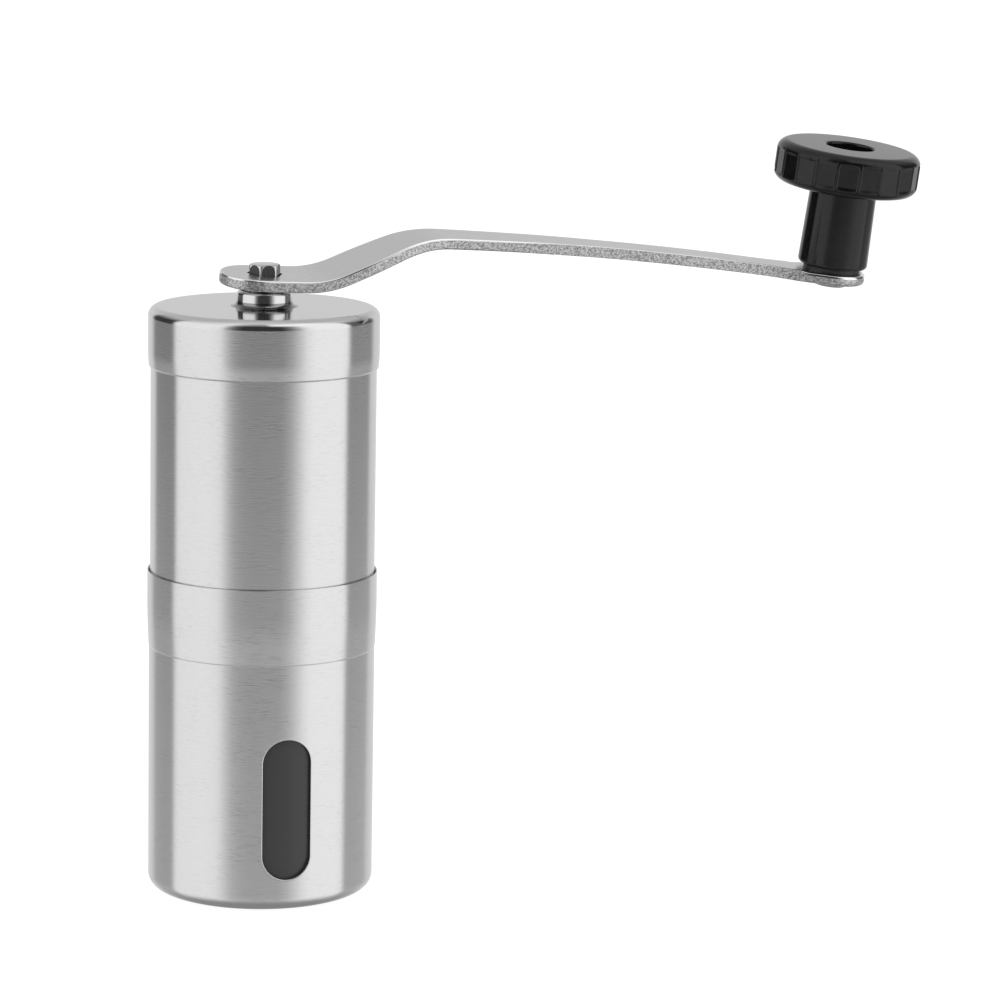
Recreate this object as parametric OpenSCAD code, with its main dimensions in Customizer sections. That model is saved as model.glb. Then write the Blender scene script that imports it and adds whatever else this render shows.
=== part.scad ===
// Hand crank coffee grinder: a steel can in two halves under a drawn lid, with a
// ceramic cone mill inside. Millimetres, +Z up. The origin is the centre of the
// flat base, on the axis of the can, and the crank lies along +X.

/* [Cup] */
// Outer diameter of the lower cup
cup_d = 47; // [44:0.5:50]
// Height of the cup, up to the seam
cup_h = 67.4; // [62:0.2:72]
// Outer diameter of the cup's widened mouth
mouth_d = 47.7; // [47.4:0.1:48.2]
// Height of the bend where the mouth starts to widen
swage_z = 51.7; // [48:0.1:53]
// Height above which the mouth is straight again
mouth_z = 58.2; // [56:0.1:60]
// Radius of the corner round the base
base_r = 2.7; // [2:0.1:5]
// Thickness of all the sheet steel
sheet = 0.4; // [0.3:0.05:0.5]

/* [Window] */
// Width of the slot in the cup
window_w = 10.1; // [8:0.1:14]
// Height of the slot's lower end
window_low = 6.7; // [5:0.1:12]
// Height of the slot's upper end
window_high = 36.1; // [30:0.1:42]
// How far the slot is turned from the front
window_turn = -2.5; // [-30:0.5:30]

/* [Upper tube and lid] */
// Outer diameter of the upper tube
tube_d = 46.6; // [46.4:0.1:46.7]
// Height of the top of the lid
lid_top = 122.4; // [118:0.2:128]
// Height of the lid's lower rim
lid_rim = 109.9; // [106:0.1:113]
// Outer diameter of the lid
lid_d = 47.7; // [47.6:0.1:48]
// Radius of the lid's upper corner
lid_r = 2; // [1:0.1:3]
// Outer radius of the lid's drawn neck
neck_r = 5.75; // [5.5:0.05:7]
// Height of the neck above the lid
neck_h = 3.3; // [2.5:0.1:3.4]

/* [Crank] */
// Height of the crank's upper face over the shaft
crank_z = 129.2; // [128.8:0.05:130]
// Thickness of the crank's steel bar
bar_t = 2.4; // [1.8:0.1:2.5]
// Distance from the shaft to the knob's pin
crank_reach = 126.5; // [100:0.1:130]
// Slack of the crank on its hexagon: how far it leans to one side
crank_slack = 6; // [3:0.5:7]
// Slack of the crank on its hexagon: how far it drops towards the knob
crank_drop = 2.8; // [0:0.1:3]
// Half of the bar's width over the shaft
hub_half = 7.6; // [7:0.1:9]
// Distance from the shaft to the bar's near end
hub_tip = 9.3; // [8.5:0.1:10]
// Half of the bar's width at its narrowest
bar_half = 3.6; // [3:0.1:5]
// Radius of the pad under the knob
pad_r = 7.3; // [6.5:0.1:8]
// Slope of the bar's rise
rise_angle = 24.9; // [20:0.1:28]
// Slope of the bar just past its crest
crest_angle = 0.7; // [0.5:0.1:5]
// Slope of the bar just before the pad
droop_angle = 6.3; // [5:0.1:8]
// Slope of the pad, and so the lean of the knob
pad_angle = 2; // [0:0.1:8]

/* [Knob] */
// Diameter of the knob's wheel
knob_d = 31; // [26:0.1:34]
// Height of the wheel
knob_rim = 8.9; // [7:0.1:10]
// Height of the knob's top above the bar
knob_h = 26.9; // [24:0.1:30]
// Diameter of the knob's stem at its foot
stem_d = 15; // [13:0.1:16]
// Diameter of the hole in the knob's top
knob_hole_d = 10.2; // [9.6:0.1:11]
// Number of flat panels round the wheel
knob_panels = 20; // [16:1:24]

/* [Mill] */
// Diameter of the drive shaft
shaft_d = 7; // [6.9:0.1:7.2]
// Width across the flats of the shaft's hexagon
hex_af = 5.9; // [5.6:0.1:5.9]
// How far the hexagon is turned in the crank's hole, as its slack allows
hex_turn = 0; // [-7:1:7]
// Outer diameter of the ceramic ring
ring_d = 35; // [33:0.5:35]
// Number of teeth on the ring and on the cone
mill_teeth = 24; // [18:2:30]

/* [Hidden] */
$fn = 96;
eps = 0.01;

// Radii and heights of the can
cup_r = cup_d / 2;
mouth_r = mouth_d / 2;
tube_r = tube_d / 2;
tube_bore_r = tube_r - sheet;
tube_low = 56.2;
tube_high = 118.6;
lid_rad = lid_d / 2;
// Small bevel where a turned or moulded edge is broken
bevel = 0.3;
// Gap between parts that turn or slide, and between parts that stand still
run_gap = 0.05;
fit_gap = 0.1;
// Length that a cutting shape stands past what it cuts
over = 2;

// Cup liner
liner_r = cup_r - sheet - fit_gap;
liner_wall = 1.2;
liner_low = sheet + 0.05;
liner_high = 49.5;
liner_corner_r = 2;

// Burr housing: wall, flange over the cup's swage, funnel, and a boss on three spokes
housing_r = tube_bore_r - 0.04;
housing_wall = 1.6;
flange_r = 23.1;
flange_low = 54.7;
collar_seat_r = 19.4;
seat_low = 57;
seat_high = 73.5;
funnel_low = 75.5;
funnel_high = 84;
funnel_r = 15.2;
spider_h = 6;
spoke_w = 3;
spoke_inset = 0.5;
boss_r = 6.6;
boss_h = 8;
boss_top = funnel_high + boss_h;
bush_r = 5;
bush_flange = 0.8;

// Mill: the ring stands in the housing, and the cone turns in it with a thin gap
ring_r = ring_d / 2;
ring_top_r = 14.9;
ring_throat_z = 66;
ring_throat_r = 13.4;
ring_mouth_r = 16;
mill_gap = 0.22;
cone_low = 57.5;
cone_high = 73;
cone_low_r = ring_mouth_r - mill_gap - 0.1;
cone_break_z = 64;
cone_break_r = 13.5;
cone_top_r = 7.4;
cone_bore_r = 5.2;
feed_teeth = 8;
socket_r = 9;
socket_h = 4;
socket_gap = 0.05;

// Drive shaft, from its threaded end up to its hexagon
shaft_r = shaft_d / 2;
shaft_flat_w = 5.1;
thread_r = 2.5;
thread_end = 47.6;
thread_top = 57.6;
end_bevel = 0.5;
flats_top = 77;
hex_low = lid_top + neck_h + 0.15;
hex_top = 131.2;
hex_bevel = 0.6;
groove_depth = 0.5;
groove_low = boss_top + bush_flange + 0.1;
groove_w = 0.9;
clip_t = 0.75;

// Adjusting dial, whose top face carries the lugs under the driver
lug_h = 0.4;
dial_low = 51.1;
dial_top = cone_low - lug_h;
dial_r = 10.5;
dial_lobes = 8;
lobe_r = 2.2;
insert_r = 4.2;
lugs = 8;

// Spring and its two washers, between the boss and the driver
driver_head_h = 1;
washer_t = 0.6;
washer_r = 6.5;
spring_low = cone_high + driver_head_h + washer_t;
spring_high = funnel_high - washer_t;
spring_coil_r = 5.2;
spring_wire_r = 0.45;
spring_turns = 5;
spring_sides = 8;
spring_steps = 20;

// Lid: fillet at the foot of its neck, curled lower edge, and what is fixed inside
neck_fillet = 1.5;
neck_edge_r = 0.8;
curl_h = 2.4;
curl_in = 0.4;
lid_inside = lid_top - sheet;
insert_disc_t = 1.3;
insert_wall = 1.4;
insert_wall_low = lid_rim + 3;
bush_bore_r = shaft_r + run_gap + 0.02;
bush_plate_r = 8.5;
bush_plate_t = 1.3;

// Crank: a bar bent from flat, so its path is a chain of straight runs and arcs
hub_run = 7.2;
rise_bend_r = 20.3;
rise_run = 12.2;
crest_bend_r = 25.6;
taper_from = 18.7;
taper_to = 40.4;
taper_half = 4.8;
slim_at = 73.3;
rise_end = hub_run + rise_bend_r * sin(rise_angle) + rise_run * cos(rise_angle);
crest_end = rise_end + crest_bend_r * (sin(rise_angle) + sin(crest_angle));
pad_start = crank_reach - pad_r;
// Fillet between the bar's edge and the pad: where its centre and its end on the pad lie
fillet_r = 40;
fillet_back = sqrt((fillet_r + pad_r) ^ 2 - (fillet_r + bar_half) ^ 2);
fillet_end = asin((fillet_r + bar_half) / (fillet_r + pad_r));
droop_r = (pad_start - crest_end) / (sin(droop_angle) - sin(crest_angle));
pad_bend_r = 12;
pad_bend_end = pad_start + pad_bend_r * (sin(droop_angle) - sin(pad_angle));
rise_low_z = rise_bend_r * (1 - cos(rise_angle));
rise_top_z = rise_low_z + rise_run * sin(rise_angle);
crest_z = rise_top_z + crest_bend_r * (cos(crest_angle) - cos(rise_angle));
droop_z = crest_z - droop_r * (cos(crest_angle) - cos(droop_angle));
pad_z = droop_z - pad_bend_r * (cos(pad_angle) - cos(droop_angle));
knob_seat_z = pad_z - (crank_reach - pad_bend_end) * tan(pad_angle);
hex_play = 0.7;

// Washer round the shaft, under the crank
hub_washer_r = 4.6;
hub_washer_t = 0.4;

// Knob, and the shouldered pin that is riveted under the pad
pin_r = 3;
pin_hole_r = 2.6;
pin_shoulder_h = 14.2;
pin_head_r = 4.6;
pin_head_h = 1.6;
pin_head_bevel = 0.5;
rivet_r = 4.2;
rivet_h = 1;
foot_gap = 0.9;
foot_washer_r = 6.1;
foot_edge_r = 0.9;
stem_top_r = 7.15;
edge_r = 2.4;
rib_w = 0.9;
panel_depth = 0.4;

// Points along an arc round (cx, cy), from angle a0 to a1, in n steps
function arc(cx, cy, r, a0, a1, n = 8) =
    [for (i = [0:n]) let(a = a0 + (a1 - a0) * i / n) [cx + r * cos(a), cy + r * sin(a)]];

// Smooth step from 0 to 1 as x goes from a to b
function ease(x, a, b) = let(t = min(1, max(0, (x - a) / (b - a)))) t * t * (3 - 2 * t);

// Corner radius of a hexagon with the given width across its flats
function hex_r(af) = af / sqrt(3);

// Straight-walled ring from height z0 to height z1
module ring(r_out, r_in, z0, z1) {
    translate([0, 0, z0]) difference() {
        cylinder(r = r_out, h = z1 - z0);
        translate([0, 0, -1]) cylinder(r = r_in, h = z1 - z0 + over);
    }
}

// Copies its children n times round the axis, the first one turned by start
module around(n, start = 0) {
    for (i = [0:n - 1]) rotate([0, 0, start + 360 * i / n]) children();
}

// Square bar on edge, which cuts a groove or a tooth gap with a sharp bottom
module wedge(side, length) {
    rotate([0, 0, 45]) cube([side, side, length]);
}

// ---- Lower cup ----

module window_slot(w, z0, z1) {
    r = w / 2;
    reach = 16;
    rotate([0, 0, window_turn]) translate([0, -cup_r + reach / 2, 0]) rotate([90, 0, 0]) {
        translate([0, z0 + r, 0]) cylinder(r = r, h = reach);
        translate([0, z1 - r, 0]) cylinder(r = r, h = reach);
        translate([-r, z0 + r, 0]) cube([w, z1 - z0 - w, reach]);
    }
}

module cup_shell() {
    lip = 0.1;
    color("silver") difference() {
        rotate_extrude() polygon(concat(
            [[0, 0]],
            arc(cup_r - base_r, base_r, base_r, -90, 0),
            [[cup_r, swage_z], [mouth_r, mouth_z], [mouth_r, cup_h - lip], [mouth_r - lip, cup_h]],
            [[mouth_r - sheet, cup_h], [mouth_r - sheet, mouth_z], [cup_r - sheet, swage_z]],
            arc(cup_r - base_r, base_r, base_r - sheet, 0, -90),
            [[0, sheet]]
        ));
        window_slot(window_w, window_low, window_high);
    }
}

module cup_liner() {
    corner = base_r - sheet;
    inner = liner_r - liner_wall;
    floor_z = liner_low + liner_wall;
    color("dimgray") rotate_extrude() polygon(concat(
        [[0, liner_low]],
        arc(liner_r - corner, liner_low + corner, corner, -90, 0),
        [[liner_r, liner_high - bevel], [liner_r - bevel, liner_high]],
        [[inner + bevel, liner_high], [inner, liner_high - bevel]],
        arc(inner - liner_corner_r, floor_z + liner_corner_r, liner_corner_r, 0, -90),
        [[0, floor_z]]
    ));
}

// ---- Upper tube and what is fixed in it ----

module upper_tube() {
    color("silver") ring(tube_r, tube_bore_r, tube_low, tube_high);
}

module burr_housing() {
    flange_top = tube_low - run_gap;
    bore_r = ring_r + socket_gap;
    color("black") difference() {
        union() {
            rotate_extrude() polygon([
                [collar_seat_r, flange_low], [flange_r, flange_low], [flange_r, flange_top],
                [housing_r, flange_top], [housing_r, funnel_high + spider_h],
                [housing_r - housing_wall, funnel_high + spider_h],
                [housing_r - housing_wall, funnel_high],
                [funnel_r, funnel_low], [funnel_r, seat_high], [bore_r, seat_high],
                [bore_r, seat_low], [collar_seat_r, seat_low]
            ]);
            translate([0, 0, funnel_high]) cylinder(r = boss_r, h = boss_h);
            around(3, 90) translate([boss_r - 1, -spoke_w / 2, funnel_high + spoke_inset])
                cube([housing_r - boss_r, spoke_w, spider_h - 2 * spoke_inset]);
        }
        translate([0, 0, funnel_high - 1]) cylinder(r = bush_r, h = boss_h + over);
    }
}

module housing_bush() {
    color("peru") union() {
        ring(bush_r, shaft_r + run_gap, funnel_high, boss_top);
        ring(boss_r - bevel, shaft_r + run_gap, boss_top, boss_top + bush_flange);
    }
}

module ring_burr() {
    tooth_side = 1.6;
    tooth_lean = 25;
    color("ivory") difference() {
        rotate_extrude() polygon([
            [ring_mouth_r, seat_low + socket_gap], [ring_r, seat_low + socket_gap],
            [ring_r, seat_high - socket_gap], [ring_top_r, seat_high - socket_gap],
            [ring_throat_r, ring_throat_z]
        ]);
        around(mill_teeth / 2) translate([ring_throat_r + 0.3, 0, ring_throat_z - over])
            rotate([-tooth_lean, 0, 0]) wedge(tooth_side, 13);
    }
}

module burr_collar() {
    lug_w = 2.4;
    color("black") union() {
        ring(collar_seat_r - socket_gap, ring_mouth_r + 0.6, flange_low, seat_low);
        around(6) translate([ring_mouth_r + 1, -lug_w / 2, flange_low - 0.8])
            cube([1.8, lug_w, 1]);
    }
}

// ---- Shaft and mill ----

// Round bar of radius r with two flats, w apart
module flatted(r, w, z0, z1) {
    translate([0, 0, z0]) intersection() {
        cylinder(r = r, h = z1 - z0);
        translate([-w / 2, -r - 1, 0]) cube([w, 2 * (r + 1), z1 - z0]);
    }
}

module hexagon_end() {
    corner_r = hex_r(hex_af);
    straight_h = hex_top - hex_low - hex_bevel;
    intersection() {
        rotate([0, 0, hex_turn]) cylinder(r = corner_r, h = hex_top - hex_low, $fn = 6);
        union() {
            cylinder(r = corner_r + 1, h = straight_h);
            translate([0, 0, straight_h])
                cylinder(r1 = corner_r + 0.05, r2 = corner_r - 0.75, h = hex_bevel);
        }
    }
}

module drive_shaft() {
    thread_low = thread_end + end_bevel;
    color("gainsboro") difference() {
        union() {
            translate([0, 0, thread_end])
                cylinder(r1 = thread_r - end_bevel, r2 = thread_r, h = end_bevel);
            translate([0, 0, thread_low]) cylinder(r = thread_r, h = thread_top - thread_low);
            flatted(shaft_r, shaft_flat_w, thread_top, flats_top);
            translate([0, 0, flats_top]) cylinder(r = shaft_r, h = hex_low - flats_top);
            translate([0, 0, hex_low]) hexagon_end();
        }
        ring(shaft_r + 1, shaft_r - groove_depth, groove_low, groove_low + groove_w);
    }
}

module shaft_clip() {
    clip_low = groove_low + run_gap;
    mouth = 2 * (shaft_r - groove_depth - 0.4);
    color("dimgray") difference() {
        ring(shaft_r + 2.2, shaft_r - groove_depth, clip_low, clip_low + clip_t);
        translate([0, -mouth / 2, clip_low - 1]) cube([10, mouth, clip_t + over]);
    }
}

module upper_spring_washer() {
    color("silver") ring(washer_r, shaft_r + 0.25, spring_high, spring_high + washer_t - eps);
}

module lower_spring_washer() {
    color("silver") ring(washer_r, shaft_r + 0.25, spring_low - washer_t, spring_low);
}

// The coil is one swept tube: a ring of points at each step along the helix
module burr_spring() {
    steps = spring_turns * spring_steps;
    start_z = spring_low + spring_wire_r + run_gap;
    rise = spring_high - spring_wire_r - run_gap - start_z;
    points = [for (i = [0:steps], k = [0:spring_sides - 1])
        let(a = 360 * i / spring_steps, b = 360 * k / spring_sides,
            r = spring_coil_r + spring_wire_r * cos(b),
            z = start_z + rise * i / steps + spring_wire_r * sin(b))
        [r * cos(a), r * sin(a), z]];
    sides = [for (i = [0:steps - 1], k = [0:spring_sides - 1])
        let(n = (k + 1) % spring_sides, p = i * spring_sides)
        [p + k, p + k + spring_sides, p + n + spring_sides, p + n]];
    ends = [[for (k = [0:spring_sides - 1]) k],
            [for (k = [spring_sides - 1:-1:0]) steps * spring_sides + k]];
    color("silver") polyhedron(points, concat(sides, ends));
}

module cone_burr() {
    fine_side = 0.9;
    fine_pitch = -19;
    feed_side = 2;
    feed_pitch = -34;
    color("ivory") difference() {
        rotate_extrude() polygon([
            [socket_r, cone_low], [cone_low_r, cone_low], [cone_break_r, cone_break_z],
            [cone_top_r, cone_high], [cone_bore_r, cone_high],
            [cone_bore_r, cone_low + socket_h], [socket_r, cone_low + socket_h]
        ]);
        around(mill_teeth) translate([cone_low_r - 0.1, 0, cone_low - 1])
            rotate([0, fine_pitch, 0]) rotate([20, 0, 0]) wedge(fine_side, 12);
        around(feed_teeth) translate([cone_break_r - 0.6, 0, cone_break_z - 0.5])
            rotate([0, feed_pitch, 0]) rotate([24, 0, 0]) wedge(feed_side, 14);
    }
}

module burr_driver() {
    color("black") difference() {
        union() {
            translate([0, 0, cone_low]) {
                cylinder(r = socket_r - socket_gap, h = socket_h - socket_gap);
                cylinder(r = cone_bore_r - socket_gap, h = cone_high - cone_low);
            }
            translate([0, 0, cone_high]) cylinder(r = cone_top_r - 0.4, h = driver_head_h - eps);
            around(lugs) translate([4.8, -0.5, cone_low - lug_h]) cube([3.4, 1, lug_h + 0.1]);
        }
        flatted(shaft_r + run_gap, shaft_flat_w + 2 * run_gap, cone_low - over, cone_high + over);
    }
}

module adjusting_dial() {
    height = dial_top - dial_low;
    color("black") difference() {
        union() {
            translate([0, 0, dial_low]) cylinder(r = dial_r - 1.5, h = height);
            around(dial_lobes) translate([dial_r - lobe_r, 0, dial_low])
                cylinder(r = lobe_r, h = height - 1);
        }
        translate([0, 0, dial_low - 1]) cylinder(r = insert_r, h = height + over);
        around(lugs, 22.5) translate([4.6, -0.6, dial_top - 0.5]) cube([3.8, 1.2, 1]);
    }
}

module dial_insert() {
    color("goldenrod") ring(insert_r, thread_r + 0.04, dial_low, dial_top);
}

// ---- Lid ----

module lid_cap() {
    neck_top = lid_top + neck_h;
    corner = lid_rad - lid_r;
    color("silver") rotate_extrude() polygon(concat(
        arc(neck_r - neck_edge_r, neck_top - neck_edge_r, neck_edge_r, 90, 0),
        arc(neck_r + neck_fillet, lid_top + neck_fillet, neck_fillet, 180, 270),
        arc(corner, lid_top - lid_r, lid_r, 90, 0),
        [[lid_rad, lid_rim + curl_h], [lid_rad - 0.1, lid_rim + curl_h / 2],
         [lid_rad - curl_in, lid_rim]],
        [[lid_rad - sheet - 0.06, lid_rim + 0.05], [lid_rad - sheet, lid_rim + curl_h / 2 + 0.4]],
        arc(corner, lid_top - lid_r, lid_r - sheet, 0, 90),
        arc(neck_r + neck_fillet, lid_top + neck_fillet, neck_fillet + sheet, 270, 180),
        arc(neck_r - neck_edge_r, neck_top - neck_edge_r, neck_edge_r - sheet, 0, 90, 4)
    ));
}

// A disc under the lid's top, a shoulder that rests on the tube, and a wall inside the tube
module lid_insert() {
    shoulder_r = lid_rad - sheet - socket_gap;
    wall_r = tube_bore_r - fit_gap;
    bore_r = wall_r - insert_wall;
    corner_z = lid_top - lid_r;
    color("black") rotate_extrude() polygon([
        [bush_plate_r + fit_gap, lid_inside - insert_disc_t], [bore_r, lid_inside - insert_disc_t],
        [bore_r, insert_wall_low], [wall_r, insert_wall_low], [wall_r, tube_high],
        [shoulder_r, tube_high], [shoulder_r, corner_z],
        [lid_rad - lid_r, lid_inside], [bush_plate_r + fit_gap, lid_inside]
    ]);
}

module lid_bush() {
    outer_r = neck_r - sheet - socket_gap;
    color("black") rotate_extrude() polygon([
        [bush_bore_r, lid_inside - 2 * bush_plate_t], [bush_plate_r, lid_inside - 2 * bush_plate_t],
        [bush_plate_r, lid_inside - bush_plate_t], [outer_r, lid_inside - bush_plate_t],
        [outer_r, lid_top + neck_h - neck_edge_r], [bush_bore_r, lid_top + neck_h - neck_edge_r]
    ]);
}

module hub_washer() {
    color("gainsboro") translate([0, 0, hex_low]) difference() {
        cylinder(r = hub_washer_r, h = hub_washer_t);
        translate([0, 0, -1]) rotate([0, 0, hex_turn])
            cylinder(r = hex_r(hex_af + fit_gap), h = hub_washer_t + over, $fn = 6);
    }
}

// ---- Crank, all in the bar's own frame: upper face of the hub at z = 0 ----

module crank_frame() {
    translate([0, 0, crank_z]) rotate([crank_slack, crank_drop, 0]) children();
}

// Upper edge of the bar seen from the side; depth moves it down along its normal
function bar_edge(depth) = concat(
    [[-hub_tip - 1, -depth]],
    arc(hub_run, rise_bend_r, rise_bend_r + depth, -90, -90 + rise_angle),
    arc(rise_end + crest_bend_r * sin(rise_angle), rise_top_z - crest_bend_r * cos(rise_angle),
        crest_bend_r - depth, 90 + rise_angle, 90 - crest_angle),
    arc(crest_end - droop_r * sin(crest_angle), crest_z - droop_r * cos(crest_angle),
        droop_r - depth, 90 - crest_angle, 90 - droop_angle),
    arc(pad_start + pad_bend_r * sin(droop_angle), droop_z + pad_bend_r * cos(droop_angle),
        pad_bend_r + depth, 270 - droop_angle, 270 - pad_angle, 2),
    [[crank_reach + pad_r + 2 - depth * sin(pad_angle),
      knob_seat_z - (pad_r + 2) * tan(pad_angle) - depth * cos(pad_angle)]]
);

// Half of the bar's width in plan at the distance x from the shaft
function bar_half_at(x) =
    x < taper_to ? hub_half - (hub_half - taper_half) * ease(x, taper_from, taper_to)
    : max(bar_half, taper_half - (taper_half - bar_half) * (x - taper_to) / (slim_at - taper_to));

// Outline of the bar in plan, as one loop: near end, one side, pad, other side
function bar_outline() =
    let(fillet_x = crank_reach - fillet_back,
        xs = [each [taper_from:3:taper_to], 54, slim_at],
        side = concat(
            [for (x = xs) [x, bar_half_at(x)]],
            arc(fillet_x, bar_half + fillet_r, fillet_r, -90, -fillet_end)
        ))
    concat(
        arc(hub_half - hub_tip, 0, hub_half, 270, 90, 24),
        side,
        arc(crank_reach, 0, pad_r, 180 - fillet_end, fillet_end - 180, 32),
        [for (i = [len(side) - 1:-1:0]) [side[i][0], -side[i][1]]]
    );

// Stands its children on the pad, square to it, with the bar's upper face at z = 0
module on_pad() {
    crank_frame() translate([crank_reach, 0, knob_seat_z]) rotate([0, pad_angle, 0]) children();
}

module crank_arm() {
    upper = bar_edge(0);
    lower = bar_edge(bar_t);
    half_y = hub_half + over;
    color("silver") difference() {
        crank_frame() intersection() {
            rotate([90, 0, 0]) translate([0, 0, -half_y]) linear_extrude(2 * half_y)
                polygon(concat(upper, [for (i = [len(lower) - 1:-1:0]) lower[i]]));
            translate([0, 0, -20]) linear_extrude(60) polygon(bar_outline());
        }
        crank_frame() translate([0, 0, -bar_t - over])
            cylinder(r = hex_r(hex_af + hex_play), h = bar_t + 2 * over, $fn = 6);
        on_pad() translate([0, 0, -bar_t - over]) cylinder(r = pin_hole_r, h = bar_t + 2 * over);
    }
}

module knob_washer() {
    color("black") on_pad() ring(foot_washer_r, pin_r + run_gap, 0, foot_gap - fit_gap);
}

module knob_pin() {
    head_straight = pin_head_h - pin_head_bevel;
    color("silver") on_pad() union() {
        translate([0, 0, -bar_t]) cylinder(r = pin_hole_r, h = bar_t + 1);
        translate([0, 0, -bar_t - rivet_h]) cylinder(r1 = rivet_r - 0.8, r2 = rivet_r, h = rivet_h);
        cylinder(r = pin_r, h = pin_shoulder_h + eps);
        translate([0, 0, pin_shoulder_h]) {
            cylinder(r = pin_head_r, h = head_straight);
            translate([0, 0, head_straight])
                cylinder(r1 = pin_head_r, r2 = pin_head_r - 0.9, h = pin_head_bevel);
        }
    }
}

module knob() {
    r = knob_d / 2;
    bore_r = pin_r + run_gap + 0.01;
    mouth_bevel = 0.4;
    rim_low = knob_h - knob_rim;
    panel_w = PI * knob_d / knob_panels - rib_w;
    floor_z = pin_shoulder_h - fit_gap;
    color("black") on_pad() difference() {
        rotate_extrude() polygon(concat(
            [[bore_r, foot_gap]],
            arc(stem_d / 2 - foot_edge_r, foot_gap + foot_edge_r, foot_edge_r, -90, 0, 5),
            [[stem_top_r, rim_low]],
            arc(r - edge_r, rim_low + edge_r, edge_r, -90, 0, 6),
            arc(r - edge_r, knob_h - edge_r, edge_r, 0, 90, 6),
            [[knob_hole_d / 2 + mouth_bevel, knob_h], [knob_hole_d / 2, knob_h - mouth_bevel]],
            [[knob_hole_d / 2, floor_z], [bore_r, floor_z]]
        ));
        around(knob_panels, 180 / knob_panels)
            translate([r - panel_depth, -panel_w / 2, rim_low + edge_r * 0.75])
                cube([3, panel_w, knob_rim - edge_r * 1.5]);
    }
}

cup_shell();
cup_liner();
upper_tube();
burr_housing();
housing_bush();
ring_burr();
burr_collar();
drive_shaft();
shaft_clip();
upper_spring_washer();
burr_spring();
lower_spring_washer();
cone_burr();
burr_driver();
adjusting_dial();
dial_insert();
lid_cap();
lid_insert();
lid_bush();
hub_washer();
crank_arm();
knob_washer();
knob_pin();
knob();
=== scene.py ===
"""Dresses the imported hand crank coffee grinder: its surfaces, finishes, light and camera.

Every new piece is a surface worked out with numpy in millimetres, in the frame of the
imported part: +Z is up, the shaft's axis is x = y = 0, and the crank lies along +X.
"""

import logging
import math
from collections.abc import Iterable, Sequence
from dataclasses import dataclass, field
from enum import IntEnum
from functools import cache

import bmesh
import bpy
import numpy as np
from mathutils import Matrix, Vector


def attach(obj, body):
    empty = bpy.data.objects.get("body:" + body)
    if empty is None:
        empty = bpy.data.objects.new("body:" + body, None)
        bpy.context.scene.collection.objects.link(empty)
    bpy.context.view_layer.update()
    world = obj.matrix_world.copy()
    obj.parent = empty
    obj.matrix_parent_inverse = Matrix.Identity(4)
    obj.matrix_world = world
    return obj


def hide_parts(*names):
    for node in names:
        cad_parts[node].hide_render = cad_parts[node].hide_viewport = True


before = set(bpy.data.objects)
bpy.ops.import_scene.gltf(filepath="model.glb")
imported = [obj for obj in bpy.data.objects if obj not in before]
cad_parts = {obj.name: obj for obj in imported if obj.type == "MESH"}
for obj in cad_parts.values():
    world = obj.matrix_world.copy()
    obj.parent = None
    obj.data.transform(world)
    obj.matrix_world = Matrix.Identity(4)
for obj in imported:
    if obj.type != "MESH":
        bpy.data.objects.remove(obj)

LOG = logging.getLogger("grinder")
MM = 0.001
TAU = 2 * math.pi
TINY = 1e-6
ROUND_CAN = 288
QUARTER = np.radians([0, 30, 60, 90])
# Points that fall in one cell of this size are one point, and the shift keeps round numbers,
# which most sizes are, away from the borders of the cells
WELD_STEP = 1e-4
WELD_SHIFT = 0.1234
# What a node's input takes: another node's output, or a constant
Input = bpy.types.NodeSocket | float | tuple


class CupFace(IntEnum):
    """Finishes of the cup's steel, by their place in its list."""

    BRUSHED = 0
    CUT = 1


class LidFace(IntEnum):
    """Finishes of the lid, by their place in its list."""

    BRUSHED = 0
    CROWN = 1
    # Fillet at the neck's root, darkened as painted shade
    PAINTED_SHADE_NECK_ROOT = 2


class BarFace(IntEnum):
    """Finishes of the crank's bar, by their place in its list."""

    SATIN = 0
    SHEARED = 1
    # Rounded upper edge and hole walls: polished, with a painted highlight in the colour
    BRIGHT = 2


class ShaftFace(IntEnum):
    """Finishes of the drive shaft, by their place in its list."""

    POLISHED = 0
    # Arches on the hexagon's facets, a painted dark reflection
    PAINTED_DARK_REFLECTION = 1


# ---------------------------------------------------------------- surfaces


@dataclass
class Patch:
    """A grid of points and its quads, in millimetres, with one finish's number or one a quad."""

    points: np.ndarray
    quads: np.ndarray
    finish: int | np.ndarray = 0


def grid(
    points: np.ndarray,
    wrap_rows: bool = False,
    wrap_cols: bool = False,
    finish: int | np.ndarray = 0,
    keep: np.ndarray | None = None,
) -> Patch:
    """Joins neighbouring points of a rows x columns array into quads.

    Args:
        points: array of rows x columns x 3.
        wrap_rows: whether the last row joins the first.
        wrap_cols: whether the last column joins the first.
        finish: number of the finish in the piece's list, or one for each quad.
        keep: mask of rows x columns of quads, False where a quad is left out.

    Returns:
        The patch.
    """
    rows, cols = points.shape[:2]
    index = np.arange(rows * cols).reshape(rows, cols)
    if wrap_rows:
        index = np.vstack([index, index[:1]])
    if wrap_cols:
        index = np.hstack([index, index[:, :1]])
    quads = np.stack([index[:-1, :-1], index[:-1, 1:], index[1:, 1:], index[1:, :-1]], axis=-1)
    quads = quads.reshape(-1, 4) if keep is None else quads[keep]
    return Patch(points.reshape(-1, 3), quads, finish)


def on_rings(radius: np.ndarray | float, angles: np.ndarray, heights: np.ndarray | float) -> np.ndarray:
    """Points at (r cos a, r sin a, z), for arrays that broadcast together."""
    radius, angles, heights = np.broadcast_arrays(radius, angles, heights)
    return np.stack([radius * np.cos(angles), radius * np.sin(angles), heights], axis=-1)


def sin_deg(angle: float) -> float:
    """Sine of an angle in degrees."""
    return math.sin(math.radians(angle))


def cos_deg(angle: float) -> float:
    """Cosine of an angle in degrees."""
    return math.cos(math.radians(angle))


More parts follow.
